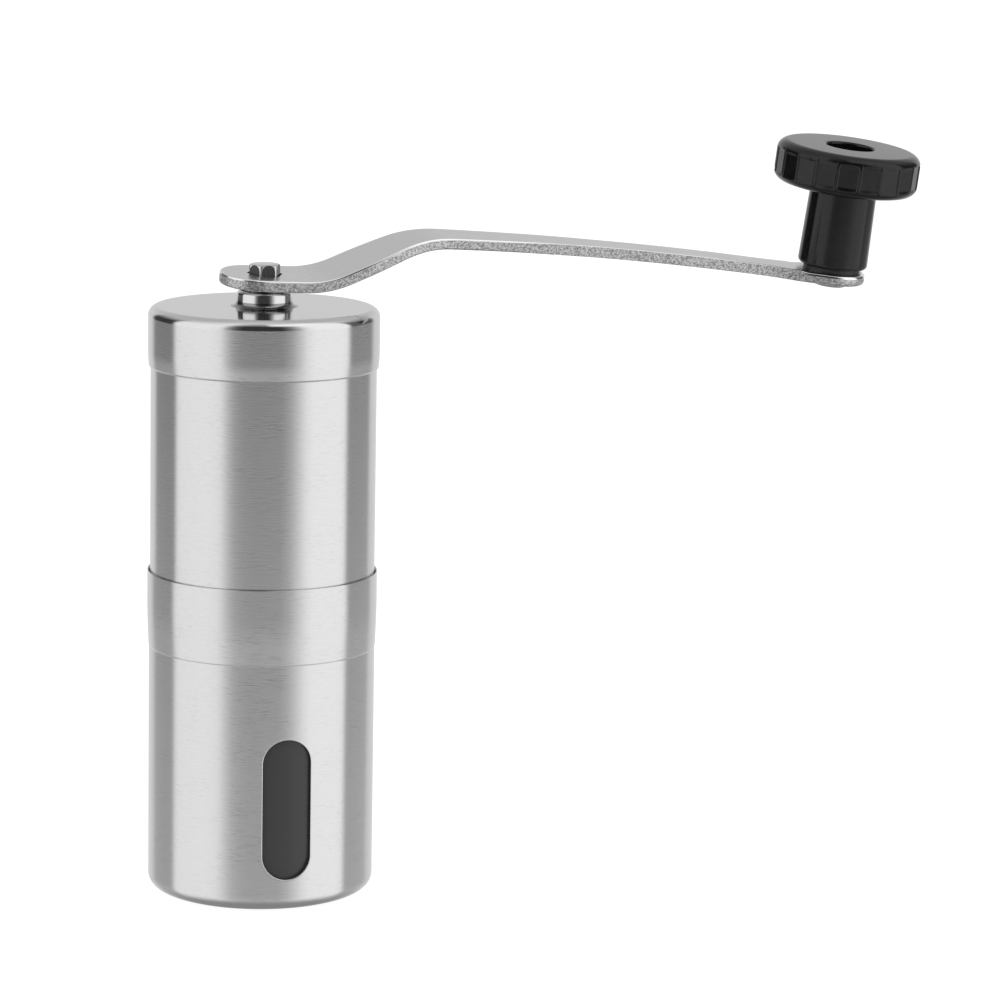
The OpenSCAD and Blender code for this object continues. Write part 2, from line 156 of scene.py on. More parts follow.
def tilted(u: np.ndarray, v: np.ndarray, angle: float) -> tuple[np.ndarray, np.ndarray]:
    """Turns (u, v) by an angle a in degrees, to (u cos a - v sin a, u sin a + v cos a)."""
    return u * cos_deg(angle) - v * sin_deg(angle), u * sin_deg(angle) + v * cos_deg(angle)


def arc(cx: float, cy: float, radius: float, start: float, end: float, steps: int = 8) -> np.ndarray:
    """Points on a circle's arc: centre plus radius times (cos a, sin a), angles in degrees."""
    angles = np.radians(np.linspace(start, end, steps + 1))
    return np.stack([cx + radius * np.cos(angles), cy + radius * np.sin(angles)], axis=-1)


def rounded(corners: Sequence[tuple], closed: bool = True, steps: int = 5) -> np.ndarray:
    """Rounds the corners of an outline with arcs.

    A corner's arc touches both of its sides at the distance radius / tan(half the corner's
    inner angle), and its points are the centre plus the two touching points' directions,
    turned evenly from one to the other.

    Args:
        corners: (x, y, radius) of each corner, radius 0 for a sharp one.
        closed: whether the outline is a loop, or keeps its two ends as they are.
        steps: pieces in each arc.

    Returns:
        Array of points x 2.
    """
    out = []
    count = len(corners)
    for i, (x, y, radius) in enumerate(corners):
        here = np.array([x, y], float)
        if radius == 0 or (not closed and i in (0, count - 1)):
            out.append(here[None])
            continue
        before = np.array(corners[i - 1][:2], float) - here
        after = np.array(corners[(i + 1) % count][:2], float) - here
        before /= np.linalg.norm(before)
        after /= np.linalg.norm(after)
        half = math.acos(float(np.clip(before @ after, -1, 1))) / 2
        reach = radius / math.tan(half)
        centre = here + (before + after) / np.linalg.norm(before + after) * radius / math.sin(half)
        a, b = here + before * reach - centre, here + after * reach - centre
        swing = math.pi - 2 * half
        part = np.linspace(0, 1, steps + 1)[:, None]
        out.append(centre + (a * np.sin((1 - part) * swing) + b * np.sin(part * swing)) / math.sin(swing))
    return np.vstack(out)


def lathe(profile: np.ndarray, closed: bool = True, finish: int | np.ndarray = 0) -> Patch:
    """Turns a profile of (radius, height) round the axis: x = r cos a, y = r sin a, z = height.

    Args:
        profile: array of points x 2.
        closed: whether the profile is a loop.
        finish: number of the finish, or one for each step of the profile.

    Returns:
        The patch.
    """
    angles = np.linspace(0, TAU, ROUND_CAN, endpoint=False)
    points = on_rings(profile[:, :1], angles, profile[:, 1:])
    each = np.repeat(finish, ROUND_CAN) if isinstance(finish, np.ndarray) else finish
    return grid(points, wrap_rows=closed, wrap_cols=True, finish=each)


def smooth(x: np.ndarray, low: float, high: float) -> np.ndarray:
    """Smooth step: 0 below low, 1 above high, and t t (3 - 2 t) between them."""
    t = np.clip((x - low) / (high - low), 0, 1)
    return t * t * (3 - 2 * t)


def hexagon_radius(angles: np.ndarray, apothem: float, corner: float) -> np.ndarray:
    """Distance from the centre to a hexagon with round corners, whose corners lie at 0, 60, ... degrees.

    On a flat it is apothem / cos of the angle from the flat's middle. On a corner it is the far
    crossing with a circle of radius corner, centred on the ray through the corner.

    Args:
        angles: directions in radians.
        apothem: half of the width across the flats.
        corner: radius of the round corners.

    Returns:
        A radius for each angle.
    """
    sixth = TAU / 6
    turn = np.abs((angles % sixth) - sixth / 2)
    centre = (apothem - corner) / math.cos(sixth / 2)
    off = sixth / 2 - turn
    round_part = centre * np.cos(off) + np.sqrt(np.maximum(corner**2 - (centre * np.sin(off)) ** 2, 0))
    flat = apothem * np.tan(turn) <= (apothem - corner) * math.tan(sixth / 2)
    return np.where(flat, apothem / np.cos(turn), round_part)


def weld(patches: Sequence[Patch]) -> tuple[np.ndarray, list, np.ndarray]:
    """Merges points that coincide, and turns quads that lost a corner into triangles.

    Args:
        patches: the piece's patches.

    Returns:
        Points x 3, the faces as lists of point numbers, and each face's finish.
    """
    points = np.vstack([p.points for p in patches])
    starts = np.cumsum([0] + [len(p.points) for p in patches[:-1]])
    quads = np.vstack([p.quads + start for p, start in zip(patches, starts)])
    finishes = np.concatenate([np.broadcast_to(p.finish, len(p.quads)) for p in patches])
    keys = np.round(points / WELD_STEP + WELD_SHIFT).astype(np.int64)
    _, first, back = np.unique(keys, axis=0, return_index=True, return_inverse=True)
    quads = back.reshape(-1)[quads]
    same = quads == np.roll(quads, -1, axis=1)
    lost = same.sum(axis=1)
    whole, three = lost == 0, lost == 1
    triangles = quads[three][~same[three]].reshape(-1, 3)
    faces = quads[whole].tolist() + triangles.tolist()
    return points[first], faces, np.concatenate([finishes[whole], finishes[three]])


def read(items: bpy.types.bpy_prop_collection, name: str, kind: type = float, width: int = 1) -> np.ndarray:
    """Reads one property of every item of a collection.

    Args:
        items: the collection.
        name: the property's name.
        kind: type of its numbers.
        width: how many of them an item has.

    Returns:
        The numbers, one item's after the other's.
    """
    out = np.empty(len(items) * width, kind)
    items.foreach_get(name, out)
    return out


def set_even_normals(mesh: bpy.types.Mesh) -> None:
    """Gives each point the mean of its faces' normals, weighted by their areas.

    Wide flat faces keep their own direction right up to a narrow rounded edge.

    Args:
        mesh: the mesh, with its faces turned outwards.
    """
    faces = mesh.polygons
    weighted = read(faces, "normal", width=3).reshape(-1, 3) * read(faces, "area")[:, None]
    summed = np.zeros((len(mesh.vertices), 3))
    at_corners = np.repeat(weighted, read(faces, "loop_total", int), axis=0)
    np.add.at(summed, read(mesh.loops, "vertex_index", int), at_corners)
    summed /= np.maximum(np.linalg.norm(summed, axis=1, keepdims=True), 1e-12)
    mesh.normals_split_custom_set_from_vertices(summed.tolist())


def face_out(mesh: bpy.types.Mesh) -> None:
    """Turns every face outwards.

    Args:
        mesh: the mesh, which is closed.
    """
    work = bmesh.new()
    work.from_mesh(mesh)
    bmesh.ops.recalc_face_normals(work, faces=work.faces)
    if work.calc_volume(signed=True) < 0:
        bmesh.ops.reverse_faces(work, faces=work.faces)
    work.to_mesh(mesh)
    work.free()


def placed(name: str, data: bpy.types.ID) -> bpy.types.Object:
    """Makes an object and links it to the scene.

    Args:
        name: the object's name.
        data: its mesh, lamp or camera.

    Returns:
        The object.
    """
    made = bpy.data.objects.new(name, data)
    bpy.context.scene.collection.objects.link(made)
    return made


@dataclass
class Piece:
    """One finished object: its name, what it rides on, what it stands for, and its finishes."""

    name: str
    body: str
    node: str
    slot: str
    finishes: Sequence["Finish"]

    def make(self, *patches: Patch) -> None:
        """Puts the patches into a mesh in metres, dresses it and ties it to its body.

        Args:
            patches: the surface, in millimetres.
        """
        points, faces, finish_of = weld(patches)
        mesh = bpy.data.meshes.new(self.name)
        mesh.from_pydata((points * MM).tolist(), [], faces)
        mesh.polygons.foreach_set("material_index", finish_of.astype(np.int32))
        mesh.polygons.foreach_set("use_smooth", np.ones(len(faces), bool))
        for finish in self.finishes:
            mesh.materials.append(finish.material())
        face_out(mesh)
        set_even_normals(mesh)
        made = placed(self.name, mesh)
        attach(made, self.body)
        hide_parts(self.node)
        LOG.info("%s: %d points, %d faces, rides on %s", self.name, len(points), len(faces), self.body)


# ---------------------------------------------------------------- shader parts


class Graph:
    """Adds nodes to a tree and links them, so that a shader reads as a list of steps."""

    def __init__(self, tree: bpy.types.NodeTree) -> None:
        """Starts on an existing tree."""
        self.tree = tree

    def feed(self, node: bpy.types.Node, values: dict[str | int, Input]) -> None:
        """Links outputs to a node's inputs, or writes constants into them.

        Args:
            node: the node.
            values: what each input gets, by the input's name or number.
        """
        for key, value in values.items():
            if isinstance(value, bpy.types.NodeSocket):
                self.tree.links.new(value, node.inputs[key])
            else:
                node.inputs[key].default_value = value

    def add(
        self, kind: str, values: dict[str | int, Input] | None = None, **settings: object
    ) -> bpy.types.Node:
        """Adds a node, sets its own properties and feeds its inputs.

        Args:
            kind: the node's type.
            values: what each input gets, by the input's name or number.
            settings: the node's own properties.

        Returns:
            The node.
        """
        node = self.tree.nodes.new(kind)
        for key, value in settings.items():
            setattr(node, key, value)
        self.feed(node, values or {})
        return node

    def math(self, operation: str, *values: Input) -> bpy.types.NodeSocket:
        """One step of arithmetic on numbers or sockets."""
        return self.add("ShaderNodeMath", dict(enumerate(values)), operation=operation).outputs[0]

    def xyz(self, *values: Input) -> bpy.types.NodeSocket:
        """Joins three numbers into a vector."""
        return self.add("ShaderNodeCombineXYZ", dict(enumerate(values))).outputs[0]

    def split(self, vector: Input) -> list[bpy.types.NodeSocket]:
        """Splits a vector into its three numbers."""
        return list(self.add("ShaderNodeSeparateXYZ", {0: vector}).outputs)

    def scaled(self, vector: Input, factors: tuple) -> bpy.types.NodeSocket:
        """Multiplies a vector's three numbers, each by a factor of its own."""
        return self.add("ShaderNodeVectorMath", {0: vector, 1: factors}, operation="MULTIPLY").outputs[0]

    def noise(
        self, vector: Input, scale: Input, detail: float, rough: float = 0.5
    ) -> bpy.types.NodeSocket:
        """Soft noise from 0 to 1 at the given points."""
        values = {"Vector": vector, "Scale": scale, "Detail": detail, "Roughness": rough}
        return self.add("ShaderNodeTexNoise", values, noise_dimensions="3D").outputs["Fac"]

    def remap(
        self, value: Input, low: float, high: float, out_low: float = 0.0, out_high: float = 1.0
    ) -> bpy.types.NodeSocket:
        """Maps low..high to out_low..out_high and stops at its ends."""
        values = {"Value": value, "From Min": low, "From Max": high, "To Min": out_low, "To Max": out_high}
        return self.add("ShaderNodeMapRange", values, clamp=True).outputs["Result"]

    def mix(self, factor: Input, first: Input, second: Input) -> bpy.types.NodeSocket:
        """Mixes two colours, which are the node's inputs 6 and 7 and its output 2."""
        values = {"Factor": factor, 6: first, 7: second}
        return self.add("ShaderNodeMix", values, data_type="RGBA").outputs[2]

    def ramp(self, factor: Input, stops: Sequence[tuple[float, float]]) -> bpy.types.NodeSocket:
        """Ramp of greys, straight from stop to stop.

        Args:
            factor: place on the ramp, from 0 to 1.
            stops: place and brightness of each stop.

        Returns:
            The grey at the place.
        """
        node = self.add("ShaderNodeValToRGB", {0: factor})
        marks = node.color_ramp.elements
        while len(marks) < len(stops):
            marks.new(0.5)
        for mark, (place, level) in zip(marks, sorted(stops)):
            mark.position = place
            mark.color = grey(level)
        return node.outputs[0]

    def bump(self, height: Input, distance: float, **below: Input) -> bpy.types.NodeSocket:
        """Bump of the given height in metres, laid on the Normal in below if there is one."""
        return self.add("ShaderNodeBump", {"Distance": distance, "Height": height, **below}).outputs[0]

    def call(self, group: bpy.types.NodeTree, **values: Input) -> bpy.types.Node:
        """Places a node group and feeds its inputs."""
        return self.add("ShaderNodeGroup", values, node_tree=group)


def fresh_graph(owner: bpy.types.Material | bpy.types.World) -> Graph:
    """Starts a graph on an emptied node tree.

    Args:
        owner: the material or world whose tree it is.

    Returns:
        The graph.
    """
    owner.use_nodes = True
    owner.node_tree.nodes.clear()
    return Graph(owner.node_tree)


def new_group(name: str, inputs: dict[str, float], outputs: Sequence[str]) -> tuple:
    """Makes an empty shader node group, with a Vector and named numbers going in.

    Args:
        name: the group's name.
        inputs: default of each numeric input.
        outputs: names of the outputs, all numbers.

    Returns:
        The group, its graph, the input node and the output node.
    """
    tree = bpy.data.node_groups.new(name, "ShaderNodeTree")
    tree.interface.new_socket(name="Vector", in_out="INPUT", socket_type="NodeSocketVector")
    for key, default in inputs.items():
        socket = tree.interface.new_socket(name=key, in_out="INPUT", socket_type="NodeSocketFloat")
        socket.default_value = default
    for key in outputs:
        tree.interface.new_socket(name=key, in_out="OUTPUT", socket_type="NodeSocketFloat")
    return tree, Graph(tree), tree.nodes.new("NodeGroupInput"), tree.nodes.new("NodeGroupOutput")


@cache
def turned_scratches() -> bpy.types.NodeTree:
    """Fine short scratches that run round the axis, as a belt leaves them on a turned can.

    The noise is read at (L cos a, L sin a, F (z + r)), so it is drawn out round the axis
    and packed close along the can and across its flat top.

    Returns:
        The group.
    """
    tree, g, start, end = new_group(
        "turned scratches", {"Fineness": 4000.0, "Length": 11.0}, ("Hair", "Stroke", "Dark Stroke")
    )
    x, y, z = g.split(start.outputs["Vector"])
    squares = g.math("ADD", g.math("MULTIPLY", x, x), g.math("MULTIPLY", y, y))
    radius = g.math("MAXIMUM", g.math("SQRT", squares), 1e-5)
    along = g.math("ADD", z, radius)
    cos_a, sin_a = g.math("DIVIDE", x, radius), g.math("DIVIDE", y, radius)
    length, fine = start.outputs["Length"], start.outputs["Fineness"]

    def drawn(stretch: float, pack: float, detail: float, shift: float) -> bpy.types.NodeSocket:
        """Noise drawn out round the axis and packed close along it.

        Args:
            stretch: factor on the length.
            pack: factor on the fineness.
            detail: the noise's detail.
            shift: how far it is moved along, so that no two noises are the same.

        Returns:
            The noise.
        """
        reach = g.math("MULTIPLY", length, stretch)
        close = g.math("ADD", g.math("MULTIPLY", g.math("MULTIPLY", along, fine), pack), shift)
        spot = g.xyz(g.math("MULTIPLY", cos_a, reach), g.math("MULTIPLY", sin_a, reach), close)
        return g.noise(spot, 1.0, detail)

    crowd = g.remap(drawn(0.22, 0.05, 2.0, 3.0), 0.35, 0.6)
    light = g.remap(drawn(0.8, 0.8, 1.0, 17.0), 0.54, 0.72)
    dark = g.remap(drawn(1.0, 0.7, 1.0, 41.0), 0.56, 0.74)
    g.feed(end, {
        "Hair": g.remap(drawn(1.0, 1.0, 3.0, 0.0), 0.25, 0.75),
        "Stroke": g.math("MULTIPLY", light, crowd),
        "Dark Stroke": g.math("MULTIPLY", dark, crowd),
    })
    return tree


@cache
def moulded_skin() -> bpy.types.NodeTree:
    """Fine grain, slow waviness and handling marks of a moulded or cast surface.

    Returns:
        The group.
    """
    tree, g, start, end = new_group(
        "moulded skin", {"Grain": 5000.0, "Wave": 220.0}, ("Grain", "Wave", "Marks")
    )
    spot, wave = start.outputs["Vector"], start.outputs["Wave"]
    g.feed(end, {
        "Grain": g.noise(spot, start.outputs["Grain"], 2.0),
        "Wave": g.noise(spot, wave, 1.0),
        "Marks": g.remap(g.noise(spot, g.math("MULTIPLY", wave, 3.0), 4.0, 0.65), 0.42, 0.72),
    })
    return tree


@cache
def sheared_face() -> bpy.types.NodeTree:
    """Crushed grain of a stamped bar's cut edge: coarse facets with finer ones on them.

    Returns:
        The group.
    """
    tree, g, start, end = new_group("sheared face", {"Size": 2200.0}, ("Height", "Pits"))
    spot, size = start.outputs["Vector"], start.outputs["Size"]
    coarse = g.noise(g.scaled(spot, (0.7, 1.0, 1.0)), size, 2.0, 0.6)
    fine = g.noise(spot, g.math("MULTIPLY", size, 2.6), 2.0, 0.6)
    g.feed(end, {
        "Height": g.math("ADD", coarse, g.math("MULTIPLY", fine, 0.4)),
        "Pits": g.remap(coarse, 0.38, 0.58),
    })
    return tree


# ---------------------------------------------------------------- finishes


def grey(level: float) -> tuple:
    """A neutral colour, in linear light."""
    return (level, level, level, 1.0)


@dataclass(frozen=True)
class Finish:
    """A surface finish, which builds its material the first time it is asked for."""

    name: str
    colour: tuple
    roughness: float

    @cache
    def material(self) -> bpy.types.Material:
        """Builds the material: a Principled shader that shade fills in.

        Returns:
            The material.
        """
        made = bpy.data.materials.new(self.name)
        g = fresh_graph(made)
        surface = g.add("ShaderNodeBsdfPrincipled")
        g.add("ShaderNodeOutputMaterial", {"Surface": surface.outputs[0]})
        self.shade(g, surface, g.add("ShaderNodeTexCoord").outputs["Object"])
        return made

    def shade(self, g: Graph, surface: bpy.types.Node, spot: bpy.types.NodeSocket) -> None:
        """Fills the material's shader from the point's place on the object.

        Args:
            g: the material's graph.
            surface: its Principled shader.
            spot: the point's place on the object, in metres.
        """
        raise NotImplementedError

    def toned(self, factor: float, more: float = 0.0) -> tuple:
        """The finish's colour times a factor, plus a little light."""
        return tuple(c * factor + more for c in self.colour[:3]) + (1.0,)


@dataclass(frozen=True)
class TurnedMetal(Finish):
    """Metal with scratches that run round the axis: brushed sheet, turned brass, ground steel."""

    stretch: float = 0.0
    fineness: float = 6000.0
    length: float = 6.0
    depth: float = 2e-7
    contrast: float = 0.02
    stroke: float = 0.15

    def shade(self, g: Graph, surface: bpy.types.Node, spot: bpy.types.NodeSocket) -> None:
        """Scratches drive the colour, the roughness and the bump.

        Args:
            g: the material's graph.
            surface: its Principled shader.
            spot: the point's place on the object, in metres.
        """
        marks = g.call(turned_scratches(), Vector=spot, Fineness=self.fineness, Length=self.length)
        hair, stroke, deep = (marks.outputs[n] for n in ("Hair", "Stroke", "Dark Stroke"))
        brushed = g.mix(hair, self.toned(1 - self.contrast), self.toned(1 + self.contrast))
        rough = g.remap(hair, 0, 1, self.roughness * 0.9, self.roughness * 1.1)
        height = g.math("SUBTRACT", hair, g.math("ADD", stroke, deep))
        g.feed(surface, {
            "Base Color": g.mix(deep, brushed, self.toned(1 - self.stroke)),
            "Roughness": g.math("ADD", rough, g.math("MULTIPLY", stroke, self.stroke)),
            "Metallic": 1.0,
            "Normal": g.bump(height, self.depth),
        })
        if self.stretch:
            tangent = g.add("ShaderNodeTangent", direction_type="RADIAL", axis="Z").outputs[0]
            g.feed(surface, {"Anisotropic": self.stretch, "Anisotropic Rotation": 0.25, "Tangent": tangent})


@dataclass(frozen=True)
class SatinBar(Finish):
    """Satin steel bar, with a faint even grain along it."""

    depth: float = 1e-6

    def shade(self, g: Graph, surface: bpy.types.Node, spot: bpy.types.NodeSocket) -> None:
        """A grain drawn out along X, with soft handling marks in the roughness.

        Args:
            g: the material's graph.
            surface: its Principled shader.
            spot: the point's place on the object, in metres.
        """
        fine = g.noise(g.scaled(spot, (300.0, 3000.0, 3000.0)), 1.0, 3.0)
        marks = g.call(moulded_skin(), Vector=spot, Wave=90.0).outputs["Marks"]
        g.feed(surface, {
            "Base Color": g.mix(fine, self.toned(0.97), self.colour),
            "Roughness": g.remap(marks, 0, 1, self.roughness * 0.9, self.roughness * 1.15),
            "Metallic": 1.0,
            "Normal": g.bump(fine, self.depth),
        })


@dataclass(frozen=True)
class ShearedEdge(Finish):
    """Plated but crushed cut edge of the bar."""

    depth: float
    size: float

    def shade(self, g: Graph, surface: bpy.types.Node, spot: bpy.types.NodeSocket) -> None:
        """Facets bend the normal, and the deepest pits are darker.

        Args:
            g: the material's graph.
            surface: its Principled shader.
            spot: the point's place on the object, in metres.
        """
        crushed = g.call(sheared_face(), Vector=spot, Size=self.size)
        g.feed(surface, {
            "Base Color": g.mix(crushed.outputs["Pits"], self.toned(0.52), self.colour),
            "Roughness": self.roughness,
            "Metallic": 1.0,
            "Normal": g.bump(crushed.outputs["Height"], self.depth),
        })


@dataclass(frozen=True)
class Plastic(Finish):
    """Moulded plastic, from gloss to a fine matt texture."""

    grain: float = 5000.0
    depth: float = 2e-6
    wave_depth: float = 0.0
    clear: float = 0.0
    density: float = 1.5
    wear: float = 0.25

    def shade(self, g: Graph, surface: bpy.types.Node, spot: bpy.types.NodeSocket) -> None:
        """Grain and waviness bend the normal, and handling marks dull the gloss in places.

        Args:
            g: the material's graph.
            surface: its Principled shader.
            spot: the point's place on the object, in metres.
        """
        skin = g.call(moulded_skin(), Vector=spot, Grain=self.grain)
        marks = skin.outputs["Marks"]
        normal = g.bump(skin.outputs["Grain"], self.depth)
        if self.wave_depth:
            normal = g.bump(skin.outputs["Wave"], self.wave_depth, Normal=normal)
        g.feed(surface, {
            "Base Color": g.mix(marks, self.colour, self.toned(1 + self.wear, self.wear * 0.016)),
            "Roughness": g.remap(marks, 0, 1, self.roughness * 0.9, self.roughness * 1.2),
            "IOR": self.density,
            "Transmission Weight": self.clear,
            "Normal": normal,
        })


@dataclass(frozen=True)
class FiredCeramic(Finish):
    """Unglazed white ceramic, with a fine tooth and faint coffee stains."""

    stain: tuple
    depth: float = 4e-6

    def shade(self, g: Graph, surface: bpy.types.Node, spot: bpy.types.NodeSocket) -> None:
        """Marks tint the colour, and a fine grain bends the normal.

        Args:
            g: the material's graph.
            surface: its Principled shader.
            spot: the point's place on the object, in metres.
        """
        skin = g.call(moulded_skin(), Vector=spot, Grain=7000.0, Wave=400.0)
        g.feed(surface, {
            "Base Color": g.mix(g.math("MULTIPLY", skin.outputs["Marks"], 0.35), self.colour, self.stain),
            "Roughness": self.roughness,
            "Subsurface Weight": 0.08,
            "Subsurface Radius": (0.001, 0.0008, 0.0006),
            "Normal": g.bump(skin.outputs["Grain"], self.depth),
        })


BRUSHED_CAN = TurnedMetal(
    "brushed can steel", grey(0.72), 0.2,
    stretch=0.9, fineness=4500.0, length=12.0, depth=3.6e-6, contrast=0.03, stroke=0.07,
)
DRAWN_CROWN = TurnedMetal("polished crown steel", grey(0.74), 0.1, stroke=0.03)
# Painted shade: dark grey steel laid on the fillet at the lid neck's root
PAINTED_SHADE_NECK_ROOT = TurnedMetal("painted shade at neck root", grey(0.3), 0.14, contrast=0.05, stroke=0.03)
CHROME = TurnedMetal("polished steel", grey(0.66), 0.1, stroke=0.04)
SPRING_STEEL = TurnedMetal(
    "spring steel", grey(0.42), 0.25, fineness=5000.0, length=3.0, depth=1e-6, contrast=0.1
)
BRASS = TurnedMetal(
    "turned brass", (0.72, 0.52, 0.24, 1.0), 0.28, fineness=4000.0, length=2.0, depth=1.5e-6, contrast=0.1
)
BRONZE = TurnedMetal(
    "sintered bronze", (0.5, 0.33, 0.17, 1.0), 0.4, fineness=5000.0, length=1.5, depth=2e-6, contrast=0.15
)
SATIN = SatinBar("satin bar steel", grey(0.78), 0.28)
# Polished edge: the lower roughness is real polish, and the colour raised above the satin steel's is a
# painted highlight
POLISHED_EDGE_AND_PAINTED_HIGHLIGHT = SatinBar("polished bar edge with painted highlight", grey(0.92), 0.12)
SHEARED = ShearedEdge("sheared bar edge", grey(0.68), 0.16, depth=1.7e-4, size=2500.0)
# Painted dark reflection: dark plastic laid on arches of the steel hexagon's facets
PAINTED_DARK_REFLECTION = Plastic("painted dark reflection on hexagon", grey(0.035), 0.22, grain=3000.0)
GLOSS_BLACK = Plastic(
    "gloss black knob", grey(0.004), 0.1, grain=6000.0, depth=4e-7, wave_depth=5e-6, density=1.43
)
BLACK = Plastic("black moulded plastic", grey(0.022), 0.42, grain=4500.0, depth=3e-6)
SMOKY = Plastic("smoky clear plastic", grey(0.047), 0.28, grain=6000.0, depth=3e-7, clear=0.1, wear=0.03)
CERAMIC = FiredCeramic("fired ceramic", (0.8, 0.78, 0.72, 1.0), 0.45, stain=(0.5, 0.38, 0.26, 1.0))


# ---------------------------------------------------------------- light and camera


@dataclass
class Studio:
    """A white surround with two tall soft boxes, and a long lens a little above the grinder."""

    eye: tuple = (-235.2, -820.4, 236.6)
    heading: float = 19.3
    tip: float = 10.237
    roll: float = 1.042
    lens: float = 150.3
    floor_radius: float = 8.0
    floor_sides: int = 96
    floor_drop: float = 0.0001
    floor_colour: float = 0.3
    floor_glow: float = 0.45
    floor_white: float = 0.88
    # Name of each soft box, its angle round from the camera, its height and its power
    boxes: tuple = (("left box", -46, 0.9, 2.2), ("right box", 56, 1.1, 2.6))
    box_reach: float = 1.1
    box_size: float = 0.9
    box_aim: tuple = (0.03, 0, 0.08)
    # Brightness seen in a mirror, by the angle round from the camera, in degrees: below the
    # horizon, just above it, where only the soft boxes and the backdrop are bright, and high up
    low_bands: tuple = (
        (-180, 0.8), (-144, 0.72), (-136, 0.54), (-103, 0.52), (-97, 1.0), (-60, 1.04), (-46, 1.0),
        (-42, 0.94), (-37, 0.88), (-30, 0.73), (-20, 0.65), (-8, 0.61), (18, 0.63), (27, 0.7),
        (35, 0.85), (44, 1.0), (52, 1.1), (91, 1.1), (97, 0.55), (133, 0.58), (141, 0.7), (180, 0.8),
    )
    high_bands: tuple = (
        (-180, 0.68), (-160, 0.72), (-147, 0.75), (-138, 0.06), (-103, 0.04), (-97, 1.0), (-60, 1.04),
        (-46, 1.0), (-42, 0.85), (-37, 0.42), (-30, 0.14), (-22, 0.04), (18, 0.04), (27, 0.2), (35, 0.5),
        (44, 0.98), (52, 1.1), (91, 1.1), (97, 0.12), (133, 0.12), (142, 0.75), (160, 0.72), (180, 0.68),
    )
    top_bands: tuple = (
        (-180, 0.55), (-120, 0.55), (-60, 0.9), (-45, 0.9), (-28, 0.5), (-12, 0.35), (3, 0.35),
        (10, 1.1), (22, 1.25), (85, 1.1), (105, 0.7), (130, 0.55), (180, 0.55),
    )
    zenith: float = 0.7
    ground: float = 0.3
    dull: float = 0.75
    brightest: float = 1.25
    # Sines of the elevations between which one band gives way to the next
    ground_fade: tuple = (-0.8, -0.45)
    horizon_fade: tuple = (-0.25, -0.05)
    top_fade: tuple = (0.46, 0.78)
    zenith_fade: tuple = (0.92, 0.99)
    top_tilt: float = 0.3

    def place_camera(self) -> None:
        """Stands the camera at the eye, turned by heading, tipped down and rolled."""
        heading, tip, roll = (math.radians(v) for v in (self.heading, self.tip, self.roll))
        ahead = Vector((math.sin(heading) * math.cos(tip), math.cos(heading) * math.cos(tip), -math.sin(tip)))
        right = ahead.cross(Vector((0, 0, 1))).normalized()
        up = right.cross(ahead)
        across = right * math.cos(roll) + up * math.sin(roll)
        above = up * math.cos(roll) - right * math.sin(roll)
        data = bpy.data.cameras.new("camera")
        data.lens = self.lens
        data.sensor_width = 36.0
        data.sensor_fit = "HORIZONTAL"
        data.clip_start = 0.01
        data.clip_end = 50.0
        turn = Matrix((across, above, -ahead)).transposed()
        made = placed("camera", data)
        made.matrix_world = Matrix.Translation(Vector(self.eye) * MM) @ turn.to_4x4()
        bpy.context.scene.camera = made

    def build_world(self) -> None:
        """White to the camera, soft to dull surfaces, and banded to mirrors."""
        world = bpy.data.worlds.new("surround")
        world.cycles.sampling_method = "NONE"
        bpy.context.scene.world = world
        g = fresh_graph(world)
        x, y, z = g.split(g.add("ShaderNodeTexCoord").outputs["Generated"])
        toward = math.atan2(self.eye[1], self.eye[0])
        cos, sin = math.cos(toward), math.sin(toward)
        along = g.math("ADD", g.math("MULTIPLY", x, cos), g.math("MULTIPLY", y, sin))
        across = g.math("SUBTRACT", g.math("MULTIPLY", y, cos), g.math("MULTIPLY", x, sin))
        turn = g.math("ADD", g.math("DIVIDE", g.math("ARCTAN2", across, along), TAU), 0.5)
        low, high, top = (
            g.ramp(turn, [((angle + 180) / 360, level / self.brightest) for angle, level in stops])
            for stops in (self.low_bands, self.high_bands, self.top_bands)
        )
        ring = g.mix(g.remap(z, *self.horizon_fade), low, high)
        ring = g.mix(g.remap(z, *self.ground_fade), grey(self.ground / self.brightest), ring)
        above = g.mix(g.remap(z, *self.zenith_fade), top, grey(self.zenith / self.brightest))
        rise = g.math("SUBTRACT", z, g.math("MULTIPLY", along, self.top_tilt))
        seen = g.mix(g.remap(rise, *self.top_fade), ring, above)
        rays = g.add("ShaderNodeLightPath").outputs
        soft = g.mix(rays["Is Glossy Ray"], grey(self.dull), g.scaled(seen, (self.brightest,) * 3))
        clear = g.mix(rays["Is Transmission Ray"], soft, grey(1.0))
        back = g.add("ShaderNodeBackground", {"Color": g.mix(rays["Is Camera Ray"], clear, grey(1.0))})
        g.add("ShaderNodeOutputWorld", {"Surface": back.outputs[0]})

    def lay_floor(self) -> None:
        """A pale floor that stays white under the grinder and keeps a faint shadow."""
        turns = np.linspace(0, TAU, self.floor_sides, endpoint=False)
        rim = on_rings(self.floor_radius, turns, -self.floor_drop)
        mesh = bpy.data.meshes.new("floor")
        mesh.from_pydata(rim.tolist(), [], [list(range(self.floor_sides))])
        finish = bpy.data.materials.new("pale floor")
        mesh.materials.append(finish)
        g = fresh_graph(finish)
        shown = g.add("ShaderNodeLightPath").outputs["Is Camera Ray"]
        dull = g.add("ShaderNodeBsdfDiffuse", {"Color": grey(self.floor_colour)})
        colour = g.mix(shown, grey(self.floor_glow), grey(self.floor_white))
        glow = g.add("ShaderNodeEmission", {"Color": colour})
        both = g.add("ShaderNodeAddShader", {0: dull.outputs[0], 1: glow.outputs[0]})
        g.add("ShaderNodeOutputMaterial", {"Surface": both.outputs[0]})
        made = placed("floor", mesh)
        made.visible_glossy = False

